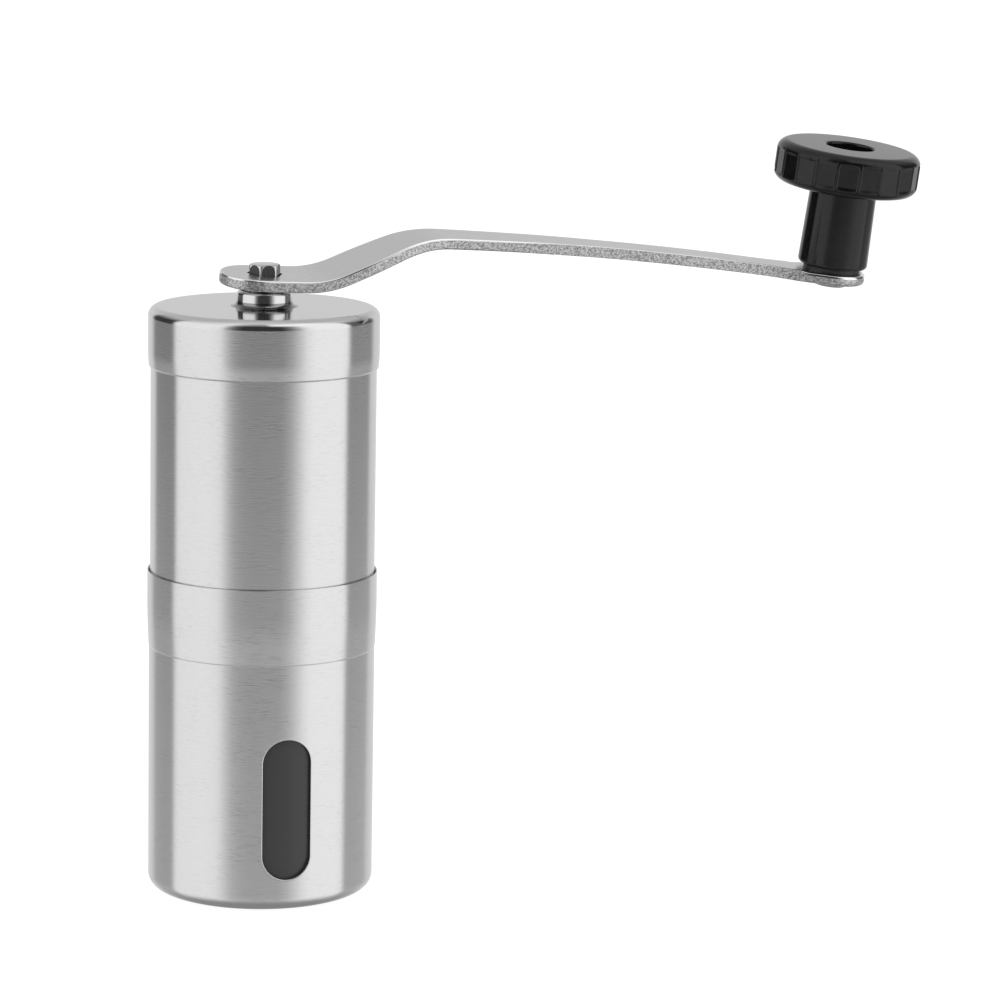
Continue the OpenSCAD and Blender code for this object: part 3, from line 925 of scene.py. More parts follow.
    def hang_lamps(self) -> None:
        """Two soft boxes at the sides, which model dull surfaces and leave mirrors to the surround."""
        toward = math.degrees(math.atan2(self.eye[1], self.eye[0]))
        for name, turn, height, power in self.boxes:
            angle = math.radians(toward + turn)
            place = (self.box_reach * math.cos(angle), self.box_reach * math.sin(angle), height)
            data = bpy.data.lights.new(name, "AREA")
            data.shape = "SQUARE"
            data.size = self.box_size
            data.energy = power
            aim = (Vector(self.box_aim) - Vector(place)).to_track_quat("-Z", "Y")
            made = placed(name, data)
            made.matrix_world = Matrix.Translation(place) @ aim.to_matrix().to_4x4()
            made.visible_glossy = False

    def build(self) -> None:
        """Sets the view transform and makes everything."""
        bpy.context.scene.view_settings.view_transform = "Standard"
        self.place_camera()
        self.build_world()
        self.lay_floor()
        self.hang_lamps()


# ---------------------------------------------------------------- the can


@dataclass
class Cup:
    """Lower half: a drawn steel cup with a slot, and the smoky liner behind it."""

    radius: float = 23.5
    height: float = 67.4
    mouth_radius: float = 23.85
    bend: float = 51.7
    mouth_low: float = 58.2
    base_radius: float = 2.7
    sheet: float = 0.4
    slot_half: float = 5.05
    slot_low: float = 6.7
    slot_high: float = 36.1
    slot_turn: float = -2.5
    slot_edge: float = 0.16
    frame_low: float = 3.5
    frame_high: float = 40.1
    frame_rows: int = 62
    frame_cols: int = 18
    face_rows: int = 9
    liner_gap: float = 0.1
    liner_wall: float = 1.2
    liner_low: float = 0.45
    liner_high: float = 49.5
    waist_depth: float = 0.5
    # How far past the slot's ends the liner's waist goes on, and where its wall is full again
    waist_past: float = 1.4
    waist_end: float = 2.4

    def wall_rows(self) -> np.ndarray:
        """Heights of the rows round the slot."""
        return np.linspace(self.frame_low, self.frame_high, self.frame_rows)

    def shell_profile(self) -> tuple[np.ndarray, int, int]:
        """Profile of the cup from its outer centre to its inner centre.

        Returns:
            The profile, and the numbers of the rows where the slot's frame starts outside and inside.
        """
        wall, mouth, thin, foot = self.radius, self.mouth_radius, self.sheet, self.base_radius
        rows = self.wall_rows()
        base = np.vstack([[[0, 0]], arc(wall - foot, foot, foot, -90, 0, 12)])
        outer = np.stack([np.full_like(rows, wall), rows], axis=-1)
        upper = rounded([
            (wall, self.frame_high + 2, 0), (wall, self.bend - 0.2, 0.5), (wall + 0.09, self.bend + 0.1, 0.5),
            (mouth, self.mouth_low, 150), (mouth, self.height - 0.03, 0.1), (mouth - 0.15, self.height, 0.1),
            (mouth - thin, self.height - 0.5, 0.1), (mouth - thin, self.mouth_low, 20),
            (wall - thin, self.bend, 4), (wall - thin, self.frame_high + 2, 0),
        ], closed=False, steps=9)
        floor = np.vstack([arc(wall - foot, foot, foot - thin, 0, -90, 12), [[0, thin]]])
        profile = np.vstack([base, outer, upper, outer[::-1] - [thin, 0], floor])
        return profile, len(base), len(base) + len(outer) + len(upper)

    def frame_ring(self, centre: float, angles: np.ndarray) -> Patch:
        """Surface between the slot and the rectangle left free round it: outside, the cut, and inside.

        A point of the rectangle's border and the point of the slot nearest to it are joined by
        straight rows. The slot is the set of points at one distance from an upright line.

        Args:
            centre: direction of the slot's middle, in radians.
            angles: directions of the columns in the rectangle.

        Returns:
            The patch.
        """
        rows = self.wall_rows()
        side = angles - centre
        border = np.vstack([
            np.stack([side, np.full_like(side, rows[0])], axis=-1)[:-1],
            np.stack([np.full_like(rows, side[-1]), rows], axis=-1)[:-1],
            np.stack([side, np.full_like(side, rows[-1])], axis=-1)[:0:-1],
            np.stack([np.full_like(rows, side[0]), rows], axis=-1)[:0:-1],
        ])
        middle = np.clip(border[:, 1], self.slot_low + self.slot_half, self.slot_high - self.slot_half)
        away = np.stack([border[:, 0] * self.radius, border[:, 1] - middle], axis=-1)
        away /= np.linalg.norm(away, axis=1, keepdims=True)

        def slot_at(offset: float, radius: float) -> np.ndarray:
            """The slot's outline, grown by offset, as directions and heights on the given radius."""
            reach = self.slot_half + offset
            return np.stack([np.arcsin(away[:, 0] * reach / radius), middle + away[:, 1] * reach], axis=-1)

        outer, inner, edge = self.radius, self.radius - self.sheet, self.slot_edge
        parts = np.linspace(0, 1, self.face_rows)
        start, end = slot_at(edge, outer), slot_at(edge, inner)
        rings = [(border * (1 - part) + start * part, outer) for part in parts]
        for turn in QUARTER[1:]:
            radius = outer - edge * (1 - math.cos(turn))
            rings.append((slot_at(edge * (1 - math.sin(turn)), radius), radius))
        for turn in QUARTER:
            radius = inner + edge * (1 - math.sin(turn))
            rings.append((slot_at(edge * (1 - math.cos(turn)), radius), radius))
        cut = slice(self.face_rows - 1, len(rings) - 1)
        rings += [(end * (1 - part) + border * part, inner) for part in parts[1:]]
        flat = np.stack([ring for ring, _ in rings])
        radii = np.array([radius for _, radius in rings])[:, None]
        finish = np.full(len(rings) - 1, CupFace.BRUSHED)
        # The slot's cut wall: polished, with a painted highlight in the colour
        finish[cut] = CupFace.CUT
        points = on_rings(radii, centre + flat[..., 0], flat[..., 1])
        return grid(points, wrap_cols=True, finish=np.repeat(finish, len(border)))

    def build_shell(self) -> None:
        """The steel cup: a lathed sheet with the frame's rectangle left out, and the frame in it."""
        profile, low_out, low_in = self.shell_profile()
        centre = math.radians(-90 + self.slot_turn)
        angles = centre - math.pi + np.arange(ROUND_CAN) * TAU / ROUND_CAN
        keep = np.ones((len(profile) - 1, ROUND_CAN), bool)
        first, last = ROUND_CAN // 2 - self.frame_cols, ROUND_CAN // 2 + self.frame_cols
        for low in (low_out, low_in):
            keep[low:low + self.frame_rows - 1, first:last] = False
        wall = grid(on_rings(profile[:, :1], angles, profile[:, 1:]), wrap_cols=True, keep=keep)
        window = self.frame_ring(centre, angles[first:last + 1])
        dress = [BRUSHED_CAN, POLISHED_EDGE_AND_PAINTED_HIGHLIGHT]
        Piece("cup_shell_steel", "cup", "cup_shell", "brushed_steel", dress).make(wall, window)

    def build_liner(self) -> None:
        """The liner: a moulded beaker with a round corner, a shallow waist behind the slot, and a rim."""
        outer = self.radius - self.sheet - self.liner_gap
        inner, waist = outer - self.liner_wall, outer - self.waist_depth
        low, high, floor = self.liner_low, self.liner_high, self.liner_low + self.liner_wall
        profile = rounded([
            (0, low, 0), (outer, low, self.base_radius - self.sheet),
            (outer, self.slot_low - self.waist_end, 0.3), (waist, self.slot_low - self.waist_past, 0.3),
            (waist, self.slot_high + self.waist_past, 0.3), (outer, self.slot_high + self.waist_end, 0.3),
            (outer, high, 0.4), (inner, high, 0.4), (inner, floor, 2), (0, floor, 0),
        ], closed=False)
        beaker = lathe(profile, closed=False)
        Piece("cup_liner_smoky", "cup", "cup_liner", "smoky_plastic", [SMOKY]).make(beaker)

    def build(self) -> None:
        """Makes the cup's pieces."""
        self.build_shell()
        self.build_liner()


@dataclass
class UpperBody:
    """Upper half: the bean tube with the mill's housing fixed in its foot."""

    tube_radius: float = 23.3
    sheet: float = 0.4
    tube_low: float = 56.2
    tube_high: float = 118.6
    edge: float = 0.12

    def build(self) -> None:
        """The brushed tube, open at both ends, with its cut edges broken."""
        outer, inner, edge = self.tube_radius, self.tube_radius - self.sheet, self.edge
        tube = lathe(rounded([
            (outer, self.tube_low, edge), (outer, self.tube_high, edge),
            (inner, self.tube_high, edge), (inner, self.tube_low, edge),
        ], steps=3))
        Piece("bean_tube_steel", "upper_body", "upper_tube", "brushed_steel", [BRUSHED_CAN]).make(tube)


@dataclass
class Lid:
    """Lid: one drawn steel cap with a neck for the shaft."""

    radius: float = 23.85
    top: float = 122.4
    rim: float = 109.9
    corner: float = 2.0
    neck_radius: float = 5.75
    neck_taper: float = 0.07
    neck_height: float = 3.3
    neck_fillet: float = 1.2
    neck_edge: float = 0.8
    sheet: float = 0.4
    bend_steps: int = 8

    def build(self) -> None:
        """The cap: skirt with a curled edge, round shoulder, flat top, and a neck drawn up from it."""
        r, thin, top = self.radius, self.sheet, self.top
        neck, crown, lip = self.neck_radius, self.top + self.neck_height, self.neck_radius - self.neck_edge
        profile = rounded([
            (r - 0.46, self.rim, 0.05), (r - 0.3, self.rim, 0.1), (r - 0.15, self.rim + 0.35, 0.3),
            (r, self.rim + 2.5, 28), (r, top, self.corner), (neck + self.neck_taper, top, self.neck_fillet),
            (neck - self.neck_taper, crown, self.neck_edge), (lip, crown, 0.15), (lip, crown - thin, 0.1),
            (neck - thin, crown - thin, 0.35), (neck - thin, top - thin, self.neck_fillet + thin),
            (r - thin, top - thin, self.corner - thin), (r - thin, self.rim + 1.6, 1),
        ], steps=self.bend_steps)
        # Each corner of the list has the same number of points: the crown runs from the shoulder
        # to the neck's lip, and the neck's root is the fillet between them, whose darker grey is painted
        # shade
        shoulder, root, lip_end = (corner * (self.bend_steps + 1) for corner in (4, 5, 8))
        finish = np.full(len(profile), LidFace.BRUSHED)
        finish[shoulder:lip_end] = LidFace.CROWN
        finish[root:root + self.bend_steps] = LidFace.PAINTED_SHADE_NECK_ROOT
        dress = [BRUSHED_CAN, DRAWN_CROWN, PAINTED_SHADE_NECK_ROOT]
        Piece("lid_cap_steel", "lid", "lid_cap", "brushed_steel", dress).make(lathe(profile, finish=finish))


# ---------------------------------------------------------------- the crank


@dataclass
class Crank:
    """Bent bar on the shaft's hexagon, with the knob's pin and the knob at its far end."""

    hub_height: float = 129.2
    thick: float = 2.4
    reach: float = 126.5
    lean: float = 6.0
    drop: float = 2.8
    hub_half: float = 7.6
    hub_tip: float = 9.3
    slim_half: float = 3.6
    waist_half: float = 4.8
    pad_radius: float = 7.3
    rise: float = 24.9
    crest: float = 0.7
    droop: float = 6.3
    pad_slope: float = 2.0
    hub_run: float = 7.2
    rise_bend: float = 20.3
    rise_run: float = 12.2
    crest_bend: float = 25.6
    pad_bend: float = 12.0
    taper: tuple = (18.7, 40.4)
    slim_at: float = 73.3
    fillet: float = 40.0
    pad_from: float = 9.0
    hole_half: float = 3.3
    hole_corner: float = 0.3
    pin_hole: float = 2.6
    edge: float = 0.42
    slim_edge: float = 0.13
    pad_edge: float = 0.75
    edge_fade: tuple = (48.0, 64.0)
    pad_fade: tuple = (9.4, 7.4)
    hole_edge: float = 0.15
    across_cols: int = 17
    fill_rows: int = 7
    path: np.ndarray = field(init=False)
    slope: np.ndarray = field(init=False)

    def __post_init__(self) -> None:
        """Works out the upper face's path: a chain of straight runs and arcs, and its slope."""
        path = self.side_path()
        steps = np.diff(path, axis=0)
        apart = np.linalg.norm(steps, axis=1) > TINY
        self.path = path[np.append(apart, True)]
        steps = steps[apart]
        middle = (self.path[1:, 0] + self.path[:-1, 0]) / 2
        self.slope = np.stack([middle, np.arctan2(steps[:, 1], steps[:, 0])], axis=-1)

    def side_path(self) -> np.ndarray:
        """The upper face seen from the side: flat hub, rise, crest, droop and pad, joined by arcs.

        Returns:
            Points (x, z) from the near end of the hub to the far end of the pad.
        """
        rise, crest, droop, level = self.rise, self.crest, self.droop, self.pad_slope
        rise_end = self.hub_run + self.rise_bend * sin_deg(rise) + self.rise_run * cos_deg(rise)
        crest_end = rise_end + self.crest_bend * (sin_deg(rise) + sin_deg(crest))
        pad_start = self.reach - self.pad_radius
        droop_bend = (pad_start - crest_end) / (sin_deg(droop) - sin_deg(crest))
        pad_end = pad_start + self.pad_bend * (sin_deg(droop) - sin_deg(level))
        rise_z = self.rise_bend * (1 - cos_deg(rise)) + self.rise_run * sin_deg(rise)
        crest_z = rise_z + self.crest_bend * (cos_deg(crest) - cos_deg(rise))
        droop_z = crest_z - droop_bend * (cos_deg(crest) - cos_deg(droop))
        pad_z = droop_z - self.pad_bend * (cos_deg(level) - cos_deg(droop))
        tip = self.reach + self.pad_radius + 2
        crest_x = rise_end + self.crest_bend * sin_deg(rise)
        crest_y = rise_z - self.crest_bend * cos_deg(rise)
        droop_x = crest_end - droop_bend * sin_deg(crest)
        droop_y = crest_z - droop_bend * cos_deg(crest)
        pad_x = pad_start + self.pad_bend * sin_deg(droop)
        pad_y = droop_z + self.pad_bend * cos_deg(droop)
        return np.vstack([
            [[-self.hub_tip - 1, 0]],
            arc(self.hub_run, self.rise_bend, self.rise_bend, -90, -90 + rise, 24),
            arc(crest_x, crest_y, self.crest_bend, 90 + rise, 90 - crest, 36),
            arc(droop_x, droop_y, droop_bend, 90 - crest, 90 - droop, 30),
            arc(pad_x, pad_y, self.pad_bend, 270 - droop, 270 - level, 6),
            [[tip, pad_z - (tip - pad_end) * math.tan(math.radians(level))]],
        ])

    def half_at(self, x: np.ndarray) -> np.ndarray:
        """Half of the bar's width in plan, up to the fillet's end.

        The hub narrows by a smooth step, the bar by a straight line, and the fillet of radius R
        flares out by R - sqrt(R^2 - d^2) at the distance d past its start.

        Args:
            x: distances from the shaft.

        Returns:
            Half a width for each distance.
        """
        hub = self.hub_half - (self.hub_half - self.waist_half) * smooth(x, *self.taper)
        fall = (self.waist_half - self.slim_half) / (self.slim_at - self.taper[1])
        slim = np.maximum(self.waist_half - fall * (x - self.taper[1]), self.slim_half)
        past = np.maximum(x - self.fillet_start(), 0)
        flare = self.fillet - np.sqrt(self.fillet**2 - past**2)
        return np.where(x < self.taper[1], hub, slim + flare)

    def fillet_turn(self) -> float:
        """Angle at the pad's centre between the bar and the fillet's end: asin((R + h) / (R + r))."""
        return math.asin((self.fillet + self.slim_half) / (self.fillet + self.pad_radius))

    def fillet_start(self) -> float:
        """Distance from the shaft at which the fillet leaves the bar's straight edge."""
        return self.reach - (self.fillet + self.pad_radius) * math.cos(self.fillet_turn())

    def in_place(self, plan: np.ndarray, depth: np.ndarray | float) -> np.ndarray:
        """Lays plan points on the bent bar, depth below its upper face, in the grinder's frame.

        A point moves down along the bar's normal: x + depth sin s, z - depth cos s, with s the
        slope there. The bar is then seated on the shaft.

        Args:
            plan: array of ... x 2.
            depth: distance below the upper face.

        Returns:
            Array of ... x 3.
        """
        x, y = plan[..., 0], plan[..., 1]
        height = np.interp(x, self.path[:, 0], self.path[:, 1])
        slope = np.interp(x, self.slope[:, 0], self.slope[:, 1])
        return self.seated(x + depth * np.sin(slope), y, height - depth * np.cos(slope))

    def seated(self, x: np.ndarray, y: np.ndarray, z: np.ndarray) -> np.ndarray:
        """Turns points about X by the lean and about Y by the drop, and lifts them to the hub.

        Args:
            x: distances along the bar.
            y: distances across it.
            z: heights over the hub's upper face.

        Returns:
            Array of ... x 3, in the grinder's frame.
        """
        y, z = tilted(y, z, self.lean)
        x, z = tilted(x, z, -self.drop)
        return np.stack([x, y, z + self.hub_height], axis=-1)

    def on_pad(self, points: np.ndarray) -> np.ndarray:
        """Stands points on the pad, square to it, with the bar's upper face at z = 0.

        Args:
            points: array of ... x 3.

        Returns:
            The points in the grinder's frame.
        """
        seat = np.interp(self.reach, self.path[:, 0], self.path[:, 1])
        x, z = tilted(points[..., 0], points[..., 2], -self.pad_slope)
        return self.seated(x + self.reach, points[..., 1], z + seat)

    def outline(self) -> tuple[np.ndarray, np.ndarray, dict[str, slice]]:
        """Plan outline of the bar, counter-clockwise from where the hub's back edge ends at the run.

        Returns:
            Points, outward normals, and the slices of the outline's parts.
        """
        joint = self.fillet_turn()
        middle = self.hub_half - self.hub_tip
        tail_from, tail_to = self.reach - self.pad_from, self.reach - self.pad_radius * math.cos(joint)
        swing = 180 - math.degrees(joint)
        hub_back = np.linspace(self.hub_run, middle, 9)[:, None] * [1, 0] + [0, self.hub_half]
        run_front, tail_front = (
            np.stack([x, -self.half_at(x)], axis=-1)
            for x in (np.linspace(self.hub_run, tail_from, 107)[1:], np.linspace(tail_from, tail_to, 8)[1:])
        )
        pieces = {
            "hub_back": hub_back,
            "hub_end": arc(middle, 0, self.hub_half, 90, 270, 36)[1:-1],
            "hub_front": hub_back[::-1] * [1, -1],
            "run_front": run_front,
            "tail_front": tail_front,
            "pad": arc(self.reach, 0, self.pad_radius, -swing, swing, 42)[1:-1],
            "tail_back": tail_front[::-1] * [1, -1],
            "run_back": run_front[::-1] * [1, -1],
        }
        ends = np.cumsum([len(piece) for piece in pieces.values()])
        parts = {name: slice(end - len(pieces[name]), end) for name, end in zip(pieces, ends)}
        points = np.vstack(list(pieces.values()))
        step = np.roll(points, -1, axis=0) - np.roll(points, 1, axis=0)
        normals = np.stack([step[:, 1], -step[:, 0]], axis=-1)
        return points, normals / np.linalg.norm(normals, axis=1, keepdims=True), parts

    def edge_at(self, x: np.ndarray) -> np.ndarray:
        """Radius of the bar's rounded edge, smallest on the slim run, with smooth steps between.

        Args:
            x: distances from the shaft.

        Returns:
            A radius for each distance.
        """
        run = self.edge + (self.slim_edge - self.edge) * smooth(x, *self.edge_fade)
        near, far = (self.reach - gap for gap in self.pad_fade)
        return run + (self.pad_edge - self.slim_edge) * smooth(x, near, far)

    def plan_grids(self) -> tuple[np.ndarray, np.ndarray, np.ndarray]:
        """Plan grids of points that fill the bar inside its rounded edge.

        Returns:
            The hub's rings, from its outline to its hole, the run's rows, and the pad's rings.
        """
        points, normals, parts = self.outline()
        inner = points - normals * self.edge_at(points[:, 0])[:, None]
        piece = {name: inner[part] for name, part in parts.items()}
        across = np.linspace(-1, 1, self.across_cols)[:, None]
        fill = np.linspace(0, 1, self.fill_rows)[:, None, None]

        def bridge(low: np.ndarray, high: np.ndarray) -> np.ndarray:
            """Points across the bar from its front edge to its back edge."""
            return low * (1 - across) / 2 + high * (1 + across) / 2

        hub_side = bridge(piece["hub_front"][-1], piece["hub_back"][0])
        hub_loop = np.vstack([hub_side[:-1], piece["hub_back"], piece["hub_end"], piece["hub_front"][:-1]])
        turn = np.arctan2(hub_loop[:, 1], hub_loop[:, 0])
        hole = hexagon_radius(turn, self.hole_half + self.hole_edge, self.hole_corner)
        hole_loop = np.stack([np.cos(turn), np.sin(turn)], axis=-1) * hole[:, None]

        front, back = piece["run_front"], piece["run_back"][::-1]
        run = np.stack([hub_side] + [bridge(low, high) for low, high in zip(front, back)])

        pad_side = run[-1][::-1]
        pad_loop = np.vstack([
            pad_side[:-1], front[-1:], piece["tail_front"], piece["pad"], piece["tail_back"],
        ])
        turn = np.arctan2(pad_loop[:, 1], pad_loop[:, 0] - self.reach)
        pin_loop = np.stack([np.cos(turn), np.sin(turn)], axis=-1) * (self.pin_hole + self.hole_edge)
        pin_loop += [self.reach, 0]
        return hub_loop * (1 - fill) + hole_loop * fill, run, pad_loop * (1 - fill) + pin_loop * fill

    def edge_rows(self, start: np.ndarray, outward: np.ndarray, turns: np.ndarray) -> tuple[list, list]:
        """Rows of points round the bar's rounded upper and lower edges, from the top down.

        A row leaves the flat face at start, and moves r sin t outwards and r (1 - cos t) deep.

        Args:
            start: plan points where the edge leaves the flat face.
            outward: plan vectors out of the steel, each as long as the edge's radius r there.
            turns: angles t of the rows, from 0 to a right angle.

        Returns:
            The rows of the upper edge and those of the lower one.
        """
        radius = np.linalg.norm(outward, axis=1)
        places = [(start + outward * math.sin(turn), radius * (1 - math.cos(turn))) for turn in turns]
        upper = [self.in_place(plan, depth) for plan, depth in places]
        lower = [self.in_place(plan, self.thick - depth) for plan, depth in places[::-1]]
        return upper, lower

    def hole_wall(self, loop: np.ndarray, centre: tuple) -> Patch:
        """Wall of a hole through the bar, with both of its rims rounded.

        Args:
            loop: the hole's outline on the upper face, already grown by the rim's radius.
            centre: middle of the hole in plan.

        Returns:
            The patch.
        """
        inward = centre - loop
        inward *= self.hole_edge / np.linalg.norm(inward, axis=1, keepdims=True)
        upper, lower = self.edge_rows(loop, inward, QUARTER)
        return grid(np.stack(upper + lower), wrap_cols=True, finish=BarFace.BRIGHT)

    def build(self) -> None:
        """The bar: two bent faces, a rounded and crushed edge round them, and two holes."""
        hub, run, pad = self.plan_grids()
        patches = [
            grid(self.in_place(plan, depth), wrap_cols=wraps, finish=BarFace.SATIN)
            for plan, wraps in ((hub, True), (run, False), (pad, True))
            for depth in (0.0, self.thick)
        ]
        points, normals, _ = self.outline()
        outward = normals * self.edge_at(points[:, 0])[:, None]
        upper, lower = self.edge_rows(points - outward, outward, np.radians(np.linspace(0, 90, 6)))
        wall = [upper[-1] * (1 - part) + lower[0] * part for part in np.linspace(0, 1, 4)]
        for rows, finish in ((upper, BarFace.BRIGHT), (wall, BarFace.SHEARED), (lower, BarFace.SHEARED)):
            patches.append(grid(np.stack(rows), wrap_cols=True, finish=finish))
        holes = self.hole_wall(hub[-1], (0.0, 0.0)), self.hole_wall(pad[-1], (self.reach, 0.0))
        dress = [SATIN, SHEARED, POLISHED_EDGE_AND_PAINTED_HIGHLIGHT]
        Piece("crank_bar_steel", "crank", "crank_arm", "satin_steel", dress).make(*patches, *holes)


@dataclass
class Knob:
    """Gloss black knob: a stem and a wheel with flat panels between narrow ribs."""

    crank: Crank
    radius: float = 15.5
    wheel: float = 8.9
    height: float = 26.88
    stem_foot: float = 7.5
    stem_top: float = 7.15
    hole: float = 5.1
    bore: float = 3.06
    foot: float = 0.9
    floor: float = 14.1
    edge: float = 2.4
    panels: int = 20
    rib: float = 0.6
    dip: float = 0.35
    # A panel ends at this part of the edge's radius, and its ends are softened over this angle
    panel_inset: float = 0.75
    panel_soft: float = 0.35
    turn: float = -13.4

    def profile(self) -> np.ndarray:
        """Half section of the knob, with straight rows down the wheel's rim.

        Returns:
            Points (radius, height) from the bore's foot round the outside to the bore's top.
        """
        low = self.height - self.wheel
        rim = np.linspace(low + self.edge, self.height - self.edge, 9)
        before = rounded([
            (self.bore, self.foot, 0), (self.stem_foot, self.foot, 0.9), (self.stem_top, low, 0.7),
            (self.radius, low, self.edge), (self.radius, rim[1], 0),
        ], closed=False, steps=9)
        after = rounded([
            (self.radius, rim[-2], 0), (self.radius, self.height, self.edge), (self.hole, self.height, 0.55),
            (self.hole, self.floor, 0.3), (self.bore, self.floor, 0),
        ], closed=False, steps=9)
        straight = np.stack([np.full(7, self.radius), rim[1:-1]], axis=-1)
        return np.vstack([before[:-1], straight, after[1:]])

    def build(self) -> None:
        """The knob's surface, with each panel's plane cut into the wheel's rim.

        A point beyond a panel's plane, at (radius - dip) / cos a from the axis, moves in to it,
        as far as two soft masks allow: one along the rim's height and one across the panel.
        """
        profile = self.profile()
        radius, height = profile[:, :1], profile[:, 1:]
        period = 360 / self.panels
        panel = math.degrees((TAU * self.radius / self.panels - self.rib) / 2 / self.radius)
        half = np.array([
            0, 2, 4, 5.6, panel - 0.9, panel - 0.45, panel - 0.15, panel + 0.15, panel + 0.4, period / 2,
        ])
        local = np.concatenate([-half[:0:-1], half])[:-1]
        angles = (np.arange(self.panels)[:, None] * period + period / 2 + local).reshape(-1)
        within = np.tile(local, self.panels)
        inset = self.edge * self.panel_inset
        low, high = self.height - self.wheel + inset, self.height - inset
        along = smooth(height, low - 0.1, low + 0.2) * (1 - smooth(height, high - 0.2, high + 0.1))
        across = 1 - smooth(np.abs(within), panel - self.panel_soft, panel + self.panel_soft)
        plane = (self.radius - self.dip) / np.cos(np.radians(within))
        on_wheel = radius > self.radius - self.edge
        cut = np.maximum(radius - plane, 0) * along * across * on_wheel
        points = on_rings(radius - cut, np.radians(angles + self.turn), height)
        patch = grid(self.crank.on_pad(points), wrap_rows=True, wrap_cols=True)
        Piece("knob_gloss", "knob", "knob", "gloss_black", [GLOSS_BLACK]).make(patch)


# ---------------------------------------------------------------- shaft and mill


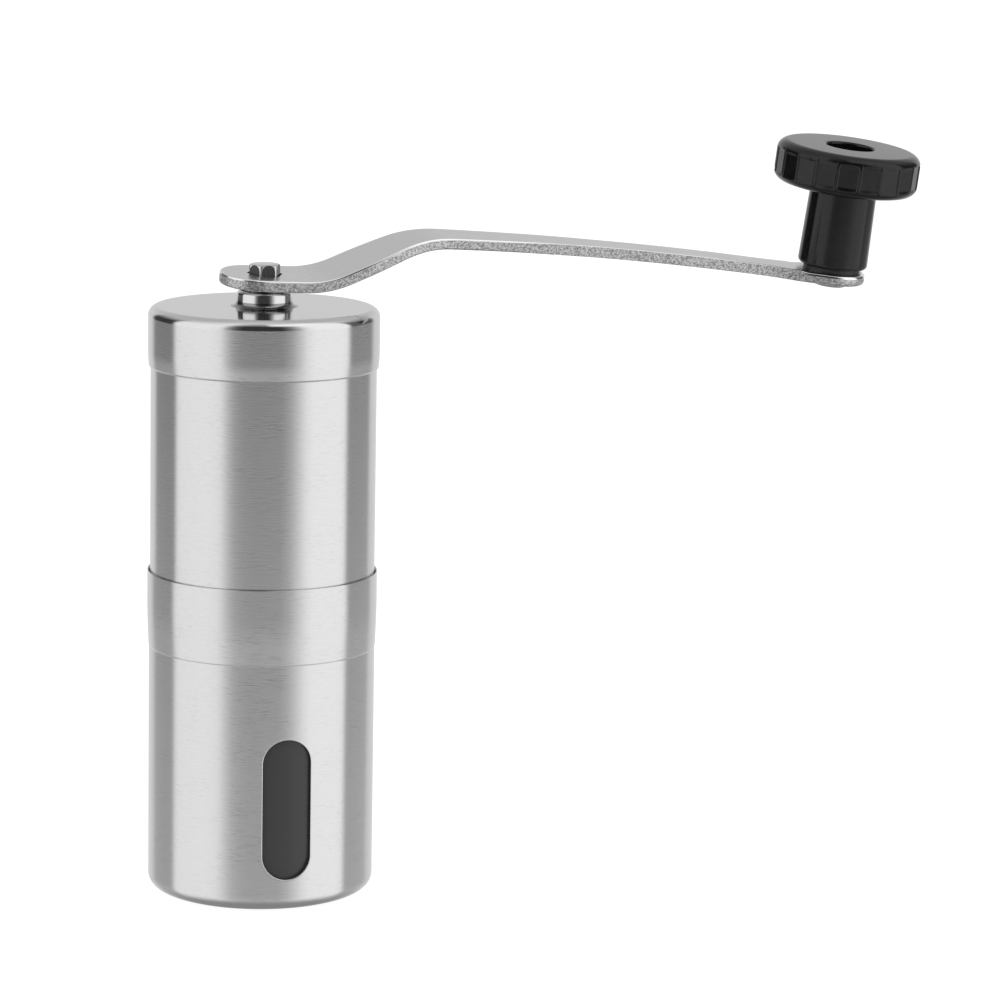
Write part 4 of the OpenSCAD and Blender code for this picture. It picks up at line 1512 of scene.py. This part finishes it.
@dataclass
class Shaft:
    """Drive shaft: hexagon, round journal with a clip groove, two flats and a thread."""

    radius: float = 3.5
    around: int = 240
    foot: float = 47.6
    foot_radius: float = 2.0
    thread_radius: float = 2.5
    thread_rows: tuple = (48.1, 57.55, 0.05)
    thread_top: float = 57.6
    thread_in: tuple = (47.9, 48.6)
    thread_out: tuple = (56.9, 57.4)
    pitch: float = 0.8
    thread_depth: float = 0.42
    flat_half: float = 2.55
    flat_top: float = 77.0
    flat_bevel: float = 0.1
    groove_low: float = 92.9
    groove_high: float = 93.8
    groove_radius: float = 3.0
    collar_drop: float = 0.1
    collar_bevel: float = 0.06
    hex_low: float = 125.85
    hex_top: float = 131.2
    hex_half: float = 2.95
    hex_corner: float = 0.8
    hex_bevel: float = 0.45
    dome_foot: float = 3.3
    dome_run: float = 0.9
    dome_rows: int = 18
    # The painted dark reflection on a facet, dark plastic on the steel: half its width in degrees, the height
    # of its arch, the rows over it, and how much of the bevel the arch takes in
    facet_half: float = 25.0
    facet_arch: float = 1.1
    facet_rows: int = 8
    facet_over: float = 0.75

    def build(self) -> None:
        """The shaft's surface: the radius of the section at each height, for every direction.

        The thread's depth goes up and down once a pitch, and starts later by angle / 2 pi of a
        pitch round the shaft. A painted dark reflection, dark plastic on the steel, covers an arched
        part of each of the hexagon's facets, where (angle from the facet's middle / half)^2 + (height /
        arch)^3 < 1.
        """
        angles = np.linspace(0, TAU, self.around, endpoint=False)
        hexagon = hexagon_radius(angles, self.hex_half, self.hex_corner)
        flats = np.minimum(self.radius, self.flat_half / np.maximum(np.abs(np.cos(angles)), TINY))
        turns = np.arange(*self.thread_rows)[:, None]
        tooth = np.abs(((turns / self.pitch - angles / TAU) % 1.0) * 2 - 1)
        fade = smooth(turns, *self.thread_in) * (1 - smooth(turns, *self.thread_out))
        straight = self.hex_top - self.hex_bevel
        arch_low = straight - self.facet_arch
        part = np.linspace(0, 1, self.dome_rows + 1)[:, None] * math.pi / 2
        dome = np.minimum(hexagon, self.dome_foot - self.dome_run * (1 - np.cos(part)))
        rows = [
            (self.foot, 0.0),
            (self.foot, self.foot_radius),
            (turns, self.thread_radius - self.thread_depth * tooth * fade),
            (self.thread_top, self.thread_radius),
            (self.thread_top, flats - self.flat_bevel),
            (self.thread_top + self.flat_bevel, flats),
            (self.flat_top, flats),
            (self.flat_top, self.radius),
            (self.groove_low, self.radius),
            (self.groove_low, self.groove_radius),
            (self.groove_high, self.groove_radius),
            (self.groove_high, self.radius),
            (self.hex_low - self.collar_drop, self.radius),
            (self.hex_low, self.radius - self.collar_bevel),
            (self.hex_low, hexagon),
            (np.linspace(arch_low, straight, self.facet_rows + 1)[:-1], hexagon),
            (self.hex_top - self.hex_bevel * (1 - np.sin(part)), dome),
            (self.hex_top, 0.0),
        ]
        heights = np.concatenate([np.ravel(height) for height, _ in rows])
        radii = np.vstack([
            np.broadcast_to(radius, (np.size(height), self.around)) for height, radius in rows
        ])
        off = np.degrees(angles + (angles[1] - angles[0]) / 2)
        aside = np.abs(off % 60 - 30) / self.facet_half
        reach = (heights[1:, None] - arch_low) / (self.facet_arch + self.hex_bevel * self.facet_over)
        dark = (aside**2 + np.maximum(reach, 0) ** 3 < 1) & (radii[:-1] >= hexagon - TINY)
        dark[:np.searchsorted(heights, self.hex_low, side="right") - 1] = False
        finish = np.where(dark, ShaftFace.PAINTED_DARK_REFLECTION, ShaftFace.POLISHED).reshape(-1)
        patch = grid(on_rings(radii, angles, heights[:, None]), wrap_cols=True, finish=finish)
        Piece("drive_shaft_steel", "shaft", "drive_shaft", "polished_steel", [CHROME, PAINTED_DARK_REFLECTION]).make(patch)


# ---------------------------------------------------------------- the rest


def dress_frame(finishes: dict[str, Finish]) -> None:
    """Gives the CAD solids that stay in view their finishes.

    Args:
        finishes: finish of each node.
    """
    for node, finish in finishes.items():
        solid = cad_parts[node]
        solid.data.materials.clear()
        solid.data.materials.append(finish.material())
        LOG.info("%s keeps its solid and gets %s", node, finish.name)


def main() -> None:
    """Builds the studio, then each sub-assembly in order from the cup to the knob."""
    logging.basicConfig(level=logging.INFO, format="%(message)s")
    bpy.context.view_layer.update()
    crank = Crank()
    for assembly in (Studio(), Cup(), UpperBody(), Shaft(), Lid(), crank, Knob(crank)):
        assembly.build()
    dress_frame({
        "burr_housing": BLACK, "housing_bush": BRONZE, "ring_burr": CERAMIC, "burr_collar": BLACK,
        "shaft_clip": SPRING_STEEL, "upper_spring_washer": SPRING_STEEL, "burr_spring": SPRING_STEEL,
        "lower_spring_washer": SPRING_STEEL, "cone_burr": CERAMIC, "burr_driver": BLACK,
        "adjusting_dial": BLACK, "dial_insert": BRASS, "lid_insert": BLACK, "lid_bush": BLACK,
        "hub_washer": CHROME, "knob_washer": BLACK, "knob_pin": CHROME,
    })


if __name__ == "__main__":
    main()
